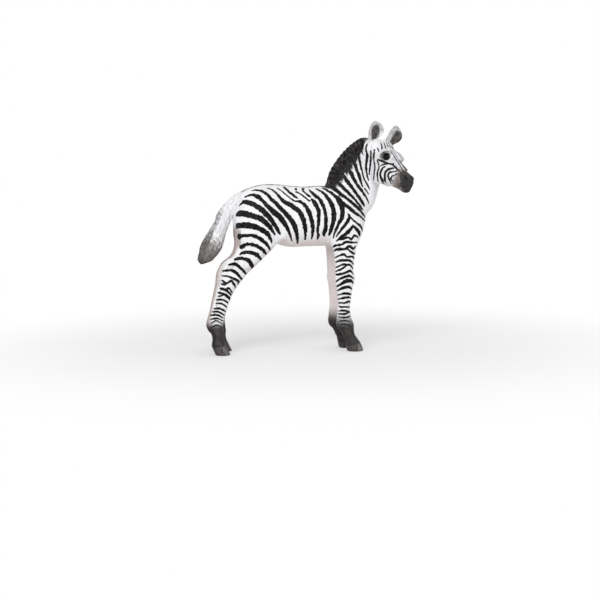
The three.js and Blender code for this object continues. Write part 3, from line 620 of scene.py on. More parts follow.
def softened(values, quads, times):
    """Values of the points averaged with their neighbours' along the quads' edges."""
    here = quads.ravel()
    there = np.roll(quads, -1, axis=1).ravel()
    count = np.bincount(here, minlength=len(values)) + np.bincount(there, minlength=len(values))
    for _ in range(times):
        total = np.bincount(here, values[there], len(values)) + np.bincount(there, values[here], len(values))
        values = (values + total / np.maximum(count, 1)) / 2
    return values


coat_normals = normals_of(coat_points, coat_quads)
posed_normals = normals_of(coat_posed, coat_quads)
coat_tree = BVHTree.FromPolygons(coat_posed.tolist(), coat_quads.tolist())


def on_coat(x_px, y_px):
    """The straight place on the coat under a point of the photograph, or None beside the figure."""
    scale = SENSOR / LENS / IMAGE_PX
    ray = ahead + right * (x_px - IMAGE_PX / 2) * scale - upward * (y_px - IMAGE_PX / 2) * scale
    place, _, face, _ = coat_tree.ray_cast(Vector(eye_point), Vector(ray))
    if place is None:
        return None
    corners = coat_quads[face]
    weight = 1 / (np.sum((coat_posed[corners] - np.array(place)) ** 2, axis=1) + 1e-6)
    return (coat_points[corners] * weight[:, None]).sum(0) / weight.sum()


STROKE_STEP_PX = 0.4
THINNEST_PX = 0.3
TWIN_GAP = 0.35  # a mark nearer than this to the midplane has no twin on the left
# The strokes are laid on wider than they were traced, by a factor for each place
BODY_SPREAD = 1.1
FACE_SPREAD = 1.34
FORE_SPREAD = 1.36
HIND_SPREAD = 1.3


def brushed(strokes, step=0.0, fade=(0.0, 1.0), spread=BODY_SPREAD):
    """Places and half widths in mm along the strokes, on the right side, and their twins on the left."""
    marks = []
    for stroke in strokes:
        length = np.sum(np.hypot(*np.diff(np.array(stroke)[:, :2], axis=0).T))
        for x_px, y_px, half_px in spline(stroke, int(length / STROKE_STEP_PX) + 2):
            place = on_coat(x_px, y_px)
            if place is None:
                continue
            half = spread * max(half_px, THINNEST_PX) / PX_PER_MM
            marks.append((*place, half))
            if place[1] <= -TWIN_GAP:
                forward = step * (1 - float(smoothstep(place[2], *fade)))
                marks.append((place[0] + forward, -place[1], place[2], half))
    return marks


marks = brushed(barrel_strokes_px + neck_strokes_px + shoulder_strokes_px + brow_strokes_px)
marks += brushed(face_strokes_px, spread=FACE_SPREAD)
marks += brushed(foreleg_strokes_px, FORE_STEP, FORE_STEP_FADE, FORE_SPREAD)
marks += brushed(hindleg_strokes_px, HIND_STEP, HIND_STEP_FADE, HIND_SPREAD)
brush_tree = kdtree.KDTree(len(marks))
for index, mark in enumerate(marks):
    brush_tree.insert(mark[:3], index)
brush_tree.balance()
half_widths = np.array([mark[3] for mark in marks])
nearest = [brush_tree.find(point)[1:] for point in coat_points.tolist()]
bare = np.array([distance - half_widths[index] for index, distance in nearest])

# What the painter shades is worked out at each point of the coat, mostly as a share of the full tint.
# Legs: the stripes stop short of the inside, which is rosy grey and partly painted shade, as the belly is,
# the back of the thigh has a painted shade, and the feet are sooty up to a soft edge, with a dark rim at
# the top of the hoof and a painted highlight on the toe.
FULL_STROKE = 0.6  # half width from which the edge of a stroke is as ragged as it gets
LEGS_PARTED = -8.0  # the forelegs stand ahead of this X and the hind legs behind it
LEG_FADE = (34.0, 39.0)  # heights over which the shades inside the legs die out
BELLY_FADE = (38.0, 43.0)  # the same for the rosy paint and painted shade of the belly
BUTTOCK_FADE = (38.0, 45.0)  # and for that down the back of the thigh
CORD_FADE = (28.0, 34.0)  # and of the hock's cord
CORD_SHARE = 0.5
BARE_INSIDE = 0.9  # how much narrower a stripe is, on each edge, inside a leg
SOOT_EDGES = ((6.5, 16.0), (7.5, 16.5), (8.0, 13.0))  # on the right foreleg, the left one and the hind legs
FORE_RIM = (2.1, 0.18, 12.5)  # height of the hoof's rim, its slope forward, and the X of that height
HIND_RIM = (3.0, 0.1, -32.0)
x, y, z = coat_points.T
outward = coat_normals[:, 1] * np.sign(y)
backward = -coat_normals[:, 0]
on_fore = x > LEGS_PARTED
on_legs = 1 - smoothstep(z, *LEG_FADE)
stripe = bare + BARE_INSIDE * smoothstep(-outward, 0.0, 0.4) * on_legs
# rosy grey under the belly and inside the legs: pinkish paint that is partly painted shade
below = smoothstep(-coat_normals[:, 2], 0.25, 0.8) * (1 - smoothstep(z, *BELLY_FADE))
inner = smoothstep(-outward, -0.25, 0.35) * on_legs
# a painted shade down the back of the thigh, and half as strong along the hock's cord
thigh = smoothstep(backward, 0.4, 0.85) * ~on_fore * (1 - smoothstep(z, *BUTTOCK_FADE))
cord = smoothstep(backward, 0.05, 0.5) * ~on_fore * (1 - smoothstep(z, *CORD_FADE))
fore_right_soot, fore_left_soot, hind_soot = (1 - smoothstep(z, *edge) for edge in SOOT_EDGES)
soot = np.where(on_fore, np.where(y > 0, fore_left_soot, fore_right_soot), hind_soot)
toe_x = x - np.where(y > 0, np.where(on_fore, FORE_STEP, HIND_STEP), 0.0)
fore_rim, hind_rim = (height + slope * (toe_x - at) for height, slope, at in (FORE_RIM, HIND_RIM))
rim_gap = z - np.where(on_fore, fore_rim, hind_rim)
hoof = 1 - smoothstep(rim_gap, -0.2, 0.1)
# a painted highlight on the front of the hoof, where it faces out and forward
toe_highlight = smoothstep(0.8 * outward + 0.6 * coat_normals[:, 0], 0.82, 1.0) * hoof

# Head: a greyish painted shade over the face, a muzzle that darkens towards the nose and up its bridge, and
# dark skin round the eyes. The far eye's is fainter and wider, as it shows past the bridge, and there it is
# partly painted shade on the brow.
FACE_LINE = np.array([0.828, 0.0, -0.56])  # down the face, from the poll to the nose
FACE_UP = np.array([0.56, 0.0, 0.828])
MUZZLE_START = 10.0
MUZZLE_LENGTH = 7.5
BRIDGE_LEVEL = -1.1
BRIDGE_DEPTH = 2.5
BRIDGE_SHARE = 0.22
HALO_BACK = 0.55  # the dark skin's middle lies this far behind the eye's
HALO_UP = 0.3
HALO_STRETCH = 1.25
FAR_HALO = 0.45
EYES_APART = 2.0  # neither eye's shading comes nearer to the midplane than this,
OUT_OF_REACH = 9.0  # because this is added to its gap there
down_face = (coat_points - POLL) @ FACE_LINE
bridge = np.clip(((coat_points - POLL) @ FACE_UP - BRIDGE_LEVEL) / BRIDGE_DEPTH, -1, 1)
muzzle = np.clip((down_face - MUZZLE_START) / MUZZLE_LENGTH, 0, 1) * smoothstep(x, 30.5, 32.0)
# a greyish painted shade over the face
face_shade = smoothstep(down_face, -2.0, 3.0) * smoothstep(x, 23.0, 25.0)
between = np.where(np.abs(y) < EYES_APART, OUT_OF_REACH, 0.0)
halo_gap = np.hypot((x - EYE[0] + HALO_BACK) / HALO_STRETCH, z - EYE[2] - HALO_UP) + between
near_halo = 1 - smoothstep(halo_gap, 0.6, 2.5)
# round the far eye it is fainter and wider: partly its dark skin, partly painted shade on the brow
far_brow_shade = FAR_HALO * (1 - smoothstep(halo_gap, 2.4, 5.2))
liner_gap = np.hypot((x - EYE[0]) / 1.1, z - EYE[2]) + between

# Back: black paint spreads from the crest of the neck, furthest a little above the withers, and a dark
# line runs from there to the tail.
MANE_SWELL = 1.8  # the black reaches this much further down at its fullest
SWELL_SKEW = 0.7  # below 1, its fullest place moves down towards the withers
CREST_POINTS = 200
DORSAL_EDGES = (0.4, 2.4)
crest = spline(neck_rows, CREST_POINTS)
slant = np.radians(crest[:, 2])
crest = np.stack([crest[:, 0] - crest[:, 3] * np.cos(slant), crest[:, 1] - crest[:, 3] * np.sin(slant)], -1)
crest_tree = kdtree.KDTree(len(crest))
for index, (crest_x, crest_z) in enumerate(crest):
    crest_tree.insert((crest_x, 0.0, crest_z), index)
crest_tree.balance()
found = [crest_tree.find(point)[1:] for point in coat_points.tolist()]
swell = MANE_SWELL * np.sin(math.pi * (np.arange(len(crest)) / len(crest)) ** SWELL_SKEW)
dorsal = (1 - smoothstep(np.abs(y), *DORSAL_EDGES)) * smoothstep(coat_normals[:, 2], 0.3, 0.8)
dorsal *= smoothstep(z, 48.0, 51.0) * (1 - smoothstep(x, 18.0, 20.0))
shades = {
    "stripe": stripe,
    "stroke": np.minimum(half_widths[[index for index, _ in nearest]] / FULL_STROKE, 1.0),
    "mane_gap": np.array([gap - swell[index] for index, gap in found]),
    "dorsal": dorsal,
    "soot": soot,
    "hoof": hoof,
    "toe_highlight": toe_highlight,
    "rim": 1 - smoothstep(np.abs(rim_gap), 0.05, 0.5),
    "outer": np.clip(outward, 0, 1),
    "belly_tint_and_shade": np.clip(below + inner, 0, 1),
    "back_of_leg_shade": np.maximum(thigh, CORD_SHARE * cord),
    "muzzle": muzzle,
    "nose": np.clip(muzzle + BRIDGE_SHARE * bridge, 0, 1),
    "face_shade": face_shade,
    "halo": np.where(y < 0, near_halo, far_brow_shade),
    "liner": 1 - smoothstep(liner_gap, 1.05, 1.4),
}

# The coat is parted into its mouldings where the fields of two of them are equal
SEAM_SOFTENING = 12
owners = {
    "trunk": trunk_field,
    "neck_and_head": head_field,
    "foreleg_right": fore_fields[-1],
    "foreleg_left": fore_fields[1],
    "hindleg_right": hind_fields[-1],
    "hindleg_left": hind_fields[1],
}
depths = [-corner_values(field, coat_points) for field in owners.values()]
claims = [softened(depth, coat_quads, SEAM_SOFTENING) for depth in depths]
owner_of_point = np.argmax(claims, axis=0)
owner_of_face = owner_of_point[coat_quads[:, 0]]


def edge_loops(quads):
    """Loops of points round the open edges of some quads, each in the quads' own direction."""
    edges = {(int(q[i]), int(q[(i + 1) % 4])) for q in quads for i in range(4)}
    onward = {}
    for a, b in edges:
        if (b, a) not in edges:
            onward.setdefault(a, []).append(b)
    loops = []
    while onward:
        start = next(iter(onward))
        loop = [start]
        while True:
            options = onward[loop[-1]]
            after = options.pop()
            if not options:
                del onward[loop[-1]]
            if after == start:
                break
            loop.append(after)
        loops.append(loop)
    return loops


def store(piece, shades, ends):
    """Keeps shades on the piece's points, and the given values on its last points."""
    for shade, values in shades.items():
        attribute = piece.data.attributes.new(shade, "FLOAT", "POINT")
        attribute.data.foreach_set("value", np.append(values, ends).astype(np.float32))


def moulding(name, quads):
    """One closed piece of the coat, with the whole coat's normals so that no joint shows in it."""
    loops = edge_loops(quads)
    used = np.unique(quads)
    order = {int(point): i for i, point in enumerate(used)}
    middles = [coat_points[loop].mean(0) for loop in loops]
    points = np.concatenate([coat_points[used], *[middle[None] for middle in middles]])
    faces = [[order[int(point)] for point in quad] for quad in quads]
    for i, loop in enumerate(loops):
        middle = len(used) + i
        faces += [[order[b], order[a], middle] for a, b in zip(loop, loop[1:] + loop[:1])]
    piece = object_of(name, points, faces)
    normals = np.concatenate([posed_normals[used], np.tile([0.0, 0.0, 1.0], (len(loops), 1))])
    piece.data.normals_split_custom_set_from_vertices(normals.tolist())
    store(piece, {shade: values[used] for shade, values in shades.items()}, np.zeros(len(loops)))
    return piece


def srgb(red, green, blue):
    """A paint colour of 0 to 255 as the shader's linear one."""
    shares = [value / 255 for value in (red, green, blue)]
    linear = [v / 12.92 if v <= 0.04045 else ((v + 0.055) / 1.055) ** 2.4 for v in shares]
    return (*linear, 1.0)


class Wire:
    """A socket in a finish's node tree, with the arithmetic that the finishes use."""

    def __init__(self, tree, socket=None):
        self.tree = tree
        self.socket = socket

    def add(self, kind, settings, sockets, output=0):
        """A node of the kind with its settings, then the values or wires of its sockets."""
        node = self.tree.nodes.new(kind)
        for name, value in settings.items():
            setattr(node, name, value)
        for name, value in sockets.items():
            if isinstance(value, Wire):
                self.tree.links.new(value.socket, node.inputs[name])
            else:
                node.inputs[name].default_value = value
        return Wire(self.tree, node.outputs[output])

    def math(self, operation, *values):
        """The result of a Math node on the values or wires."""
        return self.add("ShaderNodeMath", {"operation": operation}, dict(enumerate(values)))

    def __add__(self, other):
        return self.math("ADD", self, other)

    def __radd__(self, other):
        return self.math("ADD", other, self)

    def __sub__(self, other):
        return self.math("SUBTRACT", self, other)

    def __rsub__(self, other):
        return self.math("SUBTRACT", other, self)

    def __mul__(self, other):
        return self.math("MULTIPLY", self, other)

    def __rmul__(self, other):
        return self.math("MULTIPLY", other, self)

    def rise(self, start, end):
        """From 0 at the start to 1 at the end, smoothly."""
        sockets = {"Value": self, "From Min": start, "From Max": end}
        return self.add("ShaderNodeMapRange", {"interpolation_type": "SMOOTHSTEP"}, sockets)

    def shade(self, name):
        """A shade stored on the mesh's points."""
        return self.add("ShaderNodeAttribute", {"attribute_name": name}, {}, "Fac")

    def tint(self, share, base, over):
        """The base colour covered by another one to a share."""
        return self.add("ShaderNodeMix", {"data_type": "RGBA"}, {0: share, 6: base, 7: over}, 2)

    def noise(self, per_mm, detail=2.0, stretch=(1.0, 1.0, 1.0)):
        """Soft noise over the surface, with so many features to the millimetre, about 0.5 in the middle."""
        place = self.add("ShaderNodeTexCoord", {}, {}, "Object")
        scale = tuple(value / MM for value in stretch)
        place = self.add("ShaderNodeMapping", {}, {"Vector": place, "Scale": scale})
        sockets = {"Vector": place, "Scale": per_mm, "Detail": detail}
        return self.add("ShaderNodeTexNoise", {}, sockets)

    def relief(self, height, depth_mm):
        """A normal for a surface that rises by the height's share of the depth."""
        sockets = {"Height": height, "Distance": depth_mm * MM, "Strength": 1.0}
        return self.add("ShaderNodeBump", {}, sockets)


def finish(name, **constants):
    """An empty material with its shader, as a wire for its nodes and the shader node."""
    material = bpy.data.materials.new(name)
    material.use_nodes = True
    shader = material.node_tree.nodes["Principled BSDF"]
    for socket, value in constants.items():
        shader.inputs[socket.replace("_", " ")].default_value = value
    return material, Wire(material.node_tree), shader


def wired(material, shader, **sockets):
    """Leads the wires to the shader's sockets."""
    for name, wire in sockets.items():
        material.node_tree.links.new(wire.socket, shader.inputs[name.replace("_", " ")])


coat_paint, paint, shader = finish("coat_paint", Specular_IOR_Level=0.12, Coat_Roughness=0.3)
fine = paint.noise(2.2, 4.0)
speck = fine - 0.5
streak = paint.noise(1.5, 3.0, (1.0, 1.0, 0.3))
blotch = paint.noise(0.8, 3.0)

# White ground: cool patches and thin grey streaks, rosy below in paint and painted shade, a painted shade
# behind the thigh, and a greyish painted shade on the face
white = paint.tint(paint.noise(0.35, 3.0).rise(0.4, 0.75) * 0.45, srgb(249, 249, 251), srgb(228, 228, 234))
white = paint.tint(streak.rise(0.5, 0.68) * 0.22, white, srgb(194, 194, 202))
# rosy grey under the belly and inside the legs, partly painted shade
white = paint.tint(paint.shade("belly_tint_and_shade") * 0.75, white, srgb(218, 204, 202))
# a dark rosy painted shade down the back of the hind legs
rear_shade = (paint.shade("back_of_leg_shade") + speck * 0.6).rise(0.1, 0.8)
white = paint.tint(rear_shade * 0.85, white, srgb(172, 153, 149))
spine = (paint.shade("dorsal") + speck * 1.6 + (paint.noise(0.7, 3.0) - 0.5) * 1.6).rise(0.35, 0.9)
white = paint.tint(spine * 0.85, white, srgb(74, 71, 72))
# a greyish painted shade over the face
white = paint.tint(paint.shade("face_shade") * (fine.rise(0.35, 0.65) * 0.4 + 0.3), white, srgb(214, 213, 217))

# Feet: brown-black with a painted highlight on the outer side, the hooves streaked, a painted highlight on
# the toe and a dark rim
foot = paint.tint(fine.rise(0.4, 0.7), srgb(8, 6, 6), srgb(26, 20, 19))
# a painted highlight: the foot is lighter where it faces outward
outside_highlight = (paint.shade("outer") + (streak - 0.5) * 1.1).rise(0.75, 1.3)
foot = paint.tint(outside_highlight * 0.6, foot, srgb(88, 78, 77))
foot = paint.tint(paint.shade("hoof") * (streak.rise(0.4, 0.66) * 0.25 + 0.05), foot, srgb(122, 114, 112))
# a painted highlight on the toe of the hoof
toe_highlight_share = (paint.shade("toe_highlight") + (streak - 0.5) * 0.8).rise(0.2, 1.0)
foot = paint.tint(toe_highlight_share * 0.35, foot, srgb(158, 152, 151))
foot = paint.tint(paint.shade("rim") * 0.9, foot, srgb(8, 7, 7))
sooty = (paint.shade("soot") + speck * 0.4).rise(0.05, 0.95)
white = paint.tint(sooty * 0.97, white, foot)

# Dark skin round the eyes, under the stripes; round the far eye it is partly painted shade on the brow
skin_and_shade = paint.shade("halo") + speck * 0.7
skin_and_shade_colour = paint.tint(skin_and_shade.rise(0.3, 0.85), srgb(98, 91, 88), srgb(30, 26, 24))
white = paint.tint(skin_and_shade.rise(0.05, 0.95) * 0.9, white, skin_and_shade_colour)

# Black stripes with ragged edges and light specks of painted sheen, and the black at the foot of the mane
# with wisps of painted highlight
ragged = (paint.noise(0.9, 2.0) - 0.5) * 0.8 + (paint.noise(2.6, 3.0) - 0.5) * 0.4
edge = paint.shade("stripe") + ragged * paint.shade("stroke")
rooted = 1 - (paint.shade("mane_gap") + (blotch - 0.5) * 4.4).rise(2.1, 3.7)
dark = paint.math("MAXIMUM", 1 - edge.rise(-0.09, 0.09), rooted)
# light grey specks on the black: painted sheen
black = paint.tint(fine.rise(0.56, 0.7) * 0.4, srgb(6, 6, 7), srgb(58, 58, 62))
# lighter wisps in the black at the foot of the mane: a painted highlight along the hair
wisp_highlight = paint.noise(2.4, 4.0, (1.0, 1.0, 0.5)).rise(0.44, 0.64)
black = paint.tint(rooted * wisp_highlight * 0.45, black, srgb(84, 80, 79))
colour = paint.tint(dark, white, black)

# Lines of the lids, and the muzzle over everything: brown-grey behind, nearly black in front
liner = (paint.shade("liner") + speck * 0.4).rise(0.2, 0.8)
colour = paint.tint(liner, colour, srgb(9, 8, 8))
snout = (paint.shade("muzzle") + speck * 0.5).rise(0.02, 0.26)
snout_dark = (paint.shade("nose") + (blotch - 0.5) * 0.9 + speck * 0.9).rise(0.18, 0.62)
nose_black = paint.tint(fine.rise(0.52, 0.64) * 0.32, srgb(5, 4, 4), srgb(90, 79, 74))
colour = paint.tint(snout * 0.96, colour, paint.tint(snout_dark, srgb(134, 124, 119), nose_black))

gloss = 0.56 - dark * 0.12 + speck * 0.16 - paint.shade("soot") * 0.14
varnish = paint.shade("hoof") * 0.2 + paint.shade("soot") * 0.03
relief = paint.relief(paint.noise(3.2, 4.0) * 0.6 + paint.noise(0.9, 3.0), 0.16)
wired(coat_paint, shader, Base_Color=colour, Roughness=gloss, Coat_Weight=varnish, Normal=relief)

for index, name in enumerate(owners):
    piece = moulding(name + "_coat", coat_quads[owner_of_face == index])
    piece.data.materials.append(coat_paint)
    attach(piece, "root")
    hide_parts(name)

# Mane: a comb of stiff black hair on the crest of the neck, moulded with its locks standing up and
# bonded by its root into a slot along the neck.
MANE_ROOT = 1.2  # how deep it sits in the neck
MANE_HEIGHT = 3.0
MANE_HALF_WIDTH = 1.3
MANE_LOCKS = 41
MANE_RINGS = 420
MANE_SIDES = 44
MANE_LEAN = 0.012  # share of its length by which the tips lean
MANE_THINNING = 0.45  # share of its width that is gone at the tips
STRANDS = 58
mane_rows = [(11.2, 46.9, -53, 8.6, 3.8), *neck_rows]  # it starts on the withers
mane_height_shares = [0.4, 0.62, 0.78, 0.87, 0.92, 0.94, 0.81, 0.3]


def wander(values, *waves):
    """A mild, endless unevenness: a sum of sines of the given count, size and shift."""
    return sum(size * np.sin(2 * math.pi * (count * values + shift)) for count, size, shift in waves)


# Every ring is a slice across the hair, from its root in the neck to the tips
along = np.linspace(0, 1, MANE_RINGS)[:, None]
slice_x, slice_z, slant, depth, _ = (column[:, None] for column in spline(mane_rows, MANE_RINGS).T)
slant = np.radians(slant)
tall = spline([[share] for share in mane_height_shares], MANE_RINGS) * MANE_HEIGHT
tall *= 0.94 + wander(along, (MANE_LOCKS, 0.022, 0.1), (MANE_LOCKS * 0.43, 0.03, 0.4), (67, 0.02, 0.7))
angle = np.linspace(0, 2 * math.pi, MANE_SIDES, endpoint=False)[None, :]
up_hair = (1 + np.cos(angle)) / 2
rise = depth - MANE_ROOT + (tall + MANE_ROOT) * up_hair
lean = (MANE_LEAN + wander(along, (7, 0.004, 0.3))) * up_hair
lock = wander(along - lean, (MANE_LOCKS, 0.02, 0.2), (MANE_LOCKS * 0.61, 0.05, 0.6), (89, 0.01, 0.3))
taper = np.clip(np.minimum(along, 1 - along) * 14, 0.15, 1)
thick = (MANE_HALF_WIDTH * (1 - MANE_THINNING * up_hair) + lock) * taper
slices = [slice_x - rise * np.cos(slant), thick * np.sin(angle), slice_z - rise * np.sin(slant)]
points, quads, ends = skin_of(np.stack(slices, axis=-1))
mane = object_of("mane_hair", points, faces_of(points, quads, ends))
store(mane, {"neck_share": along + 0 * rise, "hair_share": up_hair + 0 * rise}, (0.0, 0.0))
mane_paint, paint, shader = finish("mane_paint", Roughness=0.6, Specular_IOR_Level=0.12)
up_strand = paint.shade("hair_share")
across_strands = (paint.shade("neck_share") + up_strand * 0.03) * STRANDS
place = paint.add("ShaderNodeCombineXYZ", {}, {"X": across_strands, "Y": up_strand * 2})
strands = paint.add("ShaderNodeTexNoise", {}, {"Vector": place, "Scale": 1.0, "Detail": 4.0})
# the raised strands are lighter: a painted highlight along the hair
colour = paint.tint(strands.rise(0.42, 0.66) * 0.8, srgb(9, 8, 9), srgb(84, 80, 79))
dusty = (paint.shade("neck_share") + (strands - 0.5) * 0.25).rise(0.84, 1.0)
colour = paint.tint(dusty * 0.8, colour, srgb(150, 145, 143))
wired(mane_paint, shader, Base_Color=colour, Normal=paint.relief(strands, 0.35))
mane.data.materials.append(mane_paint)
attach(mane, "root")
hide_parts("mane")

# Ears: two leaves of vinyl cupped forward, each moulded by itself with short hair in its cup, then plugged
# into the poll and bonded. White outside with greyer tips, and dark brown inside, partly painted shade in the
# cup.
EAR_LENGTH = 7.3
EAR_ROOT = 1.6
EAR_WIDTH = 7.0
EAR_THICKNESS = 1.4
EAR_CUP = 1.6
EAR_LEAN = 28.0
EAR_FACING = -6.0
EAR_SPREAD = 15.0
EAR_SEAT = (24.85, 4.1, 68.7)
EAR_RINGS = 70
EAR_SIDES = 56
CUP_EDGE = 0.6
HAIRS_ACROSS = 11
HAIRS_UP = 5
# Side, name, where the middle of the cup's dark brown and painted shade lies towards the animal's left, and
# how far it reaches
ear_pair = ((-1, "ear_right", 0.1, 0.78), (1, "ear_left", 0.85, 1.15))
# Height, half width, half thickness and hollow, as shares of the ear's length, width, thickness and cup
ear_shares = [
    (0, 0.22, 0.6, 0),
    (0.2, 0.26, 0.6, 0.25),
    (0.38, 0.33, 0.5, 0.6),
    (0.53, 0.44, 0.42, 0.9),
    (0.7, 0.475, 0.36, 0.95),
    (0.85, 0.39, 0.32, 0.65),
    (0.95, 0.24, 0.26, 0.3),
    (1, 0.07, 0.12, 0.05),
]
ear_paint, paint, shader = finish("ear_paint", Roughness=0.6, Specular_IOR_Level=0.2)
hairs = {"X": paint.shade("across") * HAIRS_ACROSS, "Y": paint.shade("up") * HAIRS_UP}
place = paint.add("ShaderNodeCombineXYZ", {}, hairs)
hair = paint.add("ShaderNodeTexNoise", {}, {"Vector": place, "Scale": 1.0, "Detail": 3.0})
hair = hair * 0.5 + paint.noise(1.4, 4.0) * 0.5
grey_hair = hair.rise(0.47, 0.58) * paint.shade("up").rise(0.15, 0.5)
colour = paint.tint(grey_hair * 0.6, srgb(238, 237, 238), srgb(118, 114, 112))
colour = paint.tint(paint.shade("up").rise(0.7, 1.1) * 0.4, colour, srgb(110, 106, 106))
# dark brown in the cup, partly painted shade, lying to a different side on each ear
cup_brown_and_shade = paint.tint(hair.rise(0.48, 0.6), srgb(14, 12, 11), srgb(120, 112, 107))
cup_shade = (paint.shade("cup") + (hair - 0.5)).rise(0.05, 0.75)
colour = paint.tint(cup_shade * 0.95, colour, cup_brown_and_shade)
wired(ear_paint, shader, Base_Color=colour, Normal=paint.relief(hair, 0.2))
for side, name, shift, reach in ear_pair:
    angle = np.linspace(0, 2 * math.pi, EAR_SIDES, endpoint=False)[None, :]
    share, half, thick, cup = (column[:, None] for column in spline(ear_shares, EAR_RINGS).T)
    forward = cup * EAR_CUP * np.cos(angle) ** 2 + thick * EAR_THICKNESS * np.sin(angle)
    across = half * EAR_WIDTH * np.cos(angle)
    up = share * (EAR_LENGTH + EAR_ROOT) - EAR_ROOT + 0 * angle
    turns = [math.radians(turn) for turn in (-EAR_SPREAD * side, EAR_LEAN, EAR_FACING)]
    rings = np.stack([forward, across, up], axis=-1) @ np.array(Euler(turns).to_matrix()).T
    points, quads, ends = skin_of(rings + np.array(EAR_SEAT) * (1, side, 1))
    ear = object_of(name + "_leaf", points, faces_of(points, quads, ends))
    inside = smoothstep(np.sin(angle), 0.0, 0.3)
    inside = inside * (1 - smoothstep(np.abs(np.cos(angle) - shift), reach - CUP_EDGE, reach))
    inside = inside * smoothstep(share, 0.15, 0.4) * (1 - smoothstep(share, 0.75, 0.98))
    store(ear, {"cup": inside, "up": share + 0 * angle, "across": np.cos(angle) + 0 * share}, (0.0, 1.0))
    ear.data.materials.append(ear_paint)
    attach(ear, "root")
    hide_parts(name)

# Eyes: two low domes of the head's own moulding between the lids, painted black with a little brown in it
# and then varnished. Each is made here as a small bead that is set into the opening of the lids.
EYE_RADII = (1.5, 0.95, 1.05)
EYE_SET_IN = 0.55
EYE_RINGS = 25
EYE_SIDES = 40
eye_paint, paint, shader = finish("eye_varnish", Roughness=0.12, Specular_IOR_Level=0.15)
colour = paint.tint(paint.noise(1.2).rise(0.4, 0.8), srgb(5, 4, 4), srgb(24, 17, 13))
wired(eye_paint, shader, Base_Color=colour)
for side, name in ((-1, "eye_right"), (1, "eye_left")):
    turn = np.linspace(0, math.pi, EYE_RINGS)[1:-1, None]
    round_y = np.linspace(0, 2 * math.pi, EYE_SIDES, endpoint=False)[None, :]
    bead_x = EYE[0] + EYE_RADII[0] * np.sin(turn) * np.cos(round_y)
    bead_y = side * (EYE[1] - EYE_SET_IN + EYE_RADII[1] * np.cos(turn) + 0 * round_y)
    bead_z = EYE[2] + EYE_RADII[2] * np.sin(turn) * np.sin(round_y)
    points, quads, ends = skin_of(np.stack([bead_x, bead_y, bead_z], axis=-1))
    eye = object_of(name, points, faces_of(points, quads, ends))
    eye.data.materials.append(eye_paint)
    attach(eye, "root")

# Tail: a moulding of its own, plugged into the rump and bonded, and held away from the body. Its long hair
# is modelled in locks. White with grey streaks above and a painted shade down its back, and a grey-brown tuft
# that darkens to its tip.
tail_rows = [
    (-17.5, 51.2, -90, 1.5, 1.4),
    (-21.2, 51.2, -91, 2.2, 1.7),
    (-24.4, 48.5, -64, 2.3, 1.8),
    (-26.6, 45.5, -44, 2.4, 1.9),
    (-28.1, 42.2, -32, 2.3, 2.0),
    (-29.6, 39.0, -25, 2.7, 2.2),
    (-31.3, 35.4, -17, 3.0, 2.2),
    (-33.2, 31.7, -12, 2.2, 1.6),
    (-34.0, 30.5, -6, 1.4, 1.0),
    (-34.5, 29.8, 0, 0.35, 0.3),
]
# Locks that end on the back of the tail: where along it, how long, and how much fuller the tail is there
TAIL_LOCKS = ((0.385, 0.08, 0.12), (0.58, 0.06, 0.05), (0.7, 0.05, 0.04), (0.835, 0.06, 0.12))
TAIL_RINGS = 220
TAIL_SIDES = 72
HAIR_BULK = 1.07  # the hair stands this much fuller than the rows
rings = rings_through(spline(tail_rows, TAIL_RINGS), TAIL_SIDES)
middle = rings.mean(axis=1, keepdims=True)
along = np.linspace(0, 1, TAIL_RINGS)[:, None]
angle = np.linspace(0, 1, TAIL_SIDES, endpoint=False)[None, :]
drift = wander(along, (1.3, 0.03, 0.2), (3.1, 0.012, 0.5))
comb = wander(angle + drift, (17, 0.035, 0.1), (9, 0.045, 0.4), (29, 0.02, 0.8))
behind = np.clip(-np.cos(2 * math.pi * angle), 0, 1) ** 1.5
locks = sum(
    size * np.exp(-np.abs(along - end) / length) * smoothstep(along, end + 0.02, end)
    for end, length, size in TAIL_LOCKS
)
comb = comb * (0.35 + 0.9 * smoothstep(along, 0.25, 0.7)) + locks * behind
points, quads, ends = skin_of(middle + (rings - middle) * (HAIR_BULK + comb)[:, :, None])
tail = object_of("tail_hair", points, faces_of(points, quads, ends))
store(tail, {"down": along + 0 * angle, "behind": behind + 0 * along}, (0.0, 1.0))
tail_paint, paint, shader = finish("tail_paint", Roughness=0.62, Specular_IOR_Level=0.25)
hair = paint.noise(1.4, 4.0, (2.0, 2.0, 0.5))
down = paint.shade("down")
colour = paint.tint(hair.rise(0.46, 0.72) * 0.6, srgb(246, 245, 248), srgb(134, 131, 132))
# a painted shade down the back of the tail, from a little below its root, streaked, and faintly over the tuft
back_shade = paint.shade("behind").rise(0.02, 0.55) * down.rise(0.15, 0.4)
back_shade_streaks = (back_shade * 0.8 + (hair - 0.5) * 1.5).rise(0.3, 1.05)
colour = paint.tint(back_shade_streaks * 0.8, colour, srgb(84, 80, 79))
tuft = paint.tint(down.rise(0.6, 1.0), srgb(148, 144, 141), srgb(74, 69, 67))
tuft = paint.tint(hair.rise(0.42, 0.72) * 0.6 + back_shade * 0.3, tuft, srgb(46, 42, 41))
on_tuft = (down + (hair - 0.5) * 0.3 + back_shade * 0.06).rise(0.54, 0.68)
colour = paint.tint(on_tuft, colour, tuft)
wired(tail_paint, shader, Base_Color=colour, Normal=paint.relief(hair, 0.25))
tail.data.materials.append(tail_paint)
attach(tail, "root")
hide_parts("tail")

# Studio: a plain white table that fades into a white room, two broad soft lamps and a little room light.
# The table keeps the figure's shadow near the hooves and glows white further out. It isn't part of the toy.
FLOOR_HALF = 1500.0
FLOOR_FADE = (0.03, 0.15)  # distances in metres over which the glow rises
FLOOR_GLOW = 0.35
ROOM_LIGHT = 0.5
LAMP_AIM = (0.0, 0.0, 35.0)
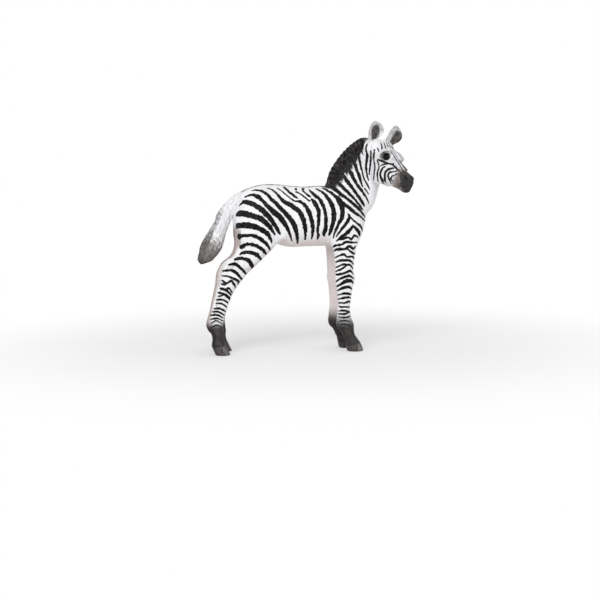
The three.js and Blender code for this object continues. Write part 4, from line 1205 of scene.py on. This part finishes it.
# Name, place, size and watts of each lamp
lamps = (
    ("key_lamp", (-120.0, -260.0, 260.0), 220.0, 0.62),
    ("fill_lamp", (260.0, -160.0, 160.0), 200.0, 0.12),
)
floor_mesh = bpy.data.meshes.new("floor")
corners = [(x * FLOOR_HALF * MM, y * FLOOR_HALF * MM, 0) for x, y in ((-1, -1), (1, -1), (1, 1), (-1, 1))]
floor_mesh.from_pydata(corners, [], [(0, 1, 2, 3)])
floor = bpy.data.objects.new("floor", floor_mesh)
bpy.context.scene.collection.objects.link(floor)
floor_white, paint, shader = finish("floor_white", Roughness=0.9)
colour = paint.tint(paint.noise(0.002).rise(0.3, 0.7), srgb(250, 250, 250), srgb(248, 248, 248))
wired(floor_white, shader, Base_Color=colour)
place = paint.add("ShaderNodeTexCoord", {}, {}, "Object")
far = paint.add("ShaderNodeVectorMath", {"operation": "LENGTH"}, {0: place}, "Value").rise(*FLOOR_FADE)
seen = paint.add("ShaderNodeLightPath", {}, {}, "Is Camera Ray")
glow = paint.add("ShaderNodeEmission", {}, {"Color": (1, 1, 1, 1), "Strength": 1.0})
output = floor_white.node_tree.nodes["Material Output"]
table = Wire(floor_white.node_tree, shader.outputs[0])
glowing = (far * (1 - FLOOR_GLOW) + FLOOR_GLOW) * seen
surface = paint.add("ShaderNodeMixShader", {}, {0: glowing, 1: table, 2: glow})
floor_white.node_tree.links.new(surface.socket, output.inputs["Surface"])
floor.data.materials.append(floor_white)

world = bpy.data.worlds.new("room")
bpy.context.scene.world = world
world.use_nodes = True
room = Wire(world.node_tree)
background = world.node_tree.nodes["Background"]
kinds = ("Is Camera Ray", "Is Glossy Ray", "Is Transmission Ray")
camera_ray, glossy_ray, through_ray = (room.add("ShaderNodeLightPath", {}, {}, kind) for kind in kinds)
white_room = room.math("MINIMUM", camera_ray + glossy_ray + through_ray, 1.0)
bright = white_room * (1 - ROOM_LIGHT) + ROOM_LIGHT
world.node_tree.links.new(bright.socket, background.inputs["Strength"])
background.inputs["Color"].default_value = (1, 1, 1, 1)

for name, place, size, watts in lamps:
    lamp = bpy.data.lights.new(name, "AREA")
    lamp.shape = "DISK"
    lamp.size = size * MM
    lamp.energy = watts
    holder = bpy.data.objects.new(name, lamp)
    bpy.context.scene.collection.objects.link(holder)
    place = Vector(place) * MM
    facing = (Vector(LAMP_AIM) * MM - place).to_track_quat("-Z", "Y")
    holder.matrix_world = Matrix.Translation(place) @ facing.to_matrix().to_4x4()
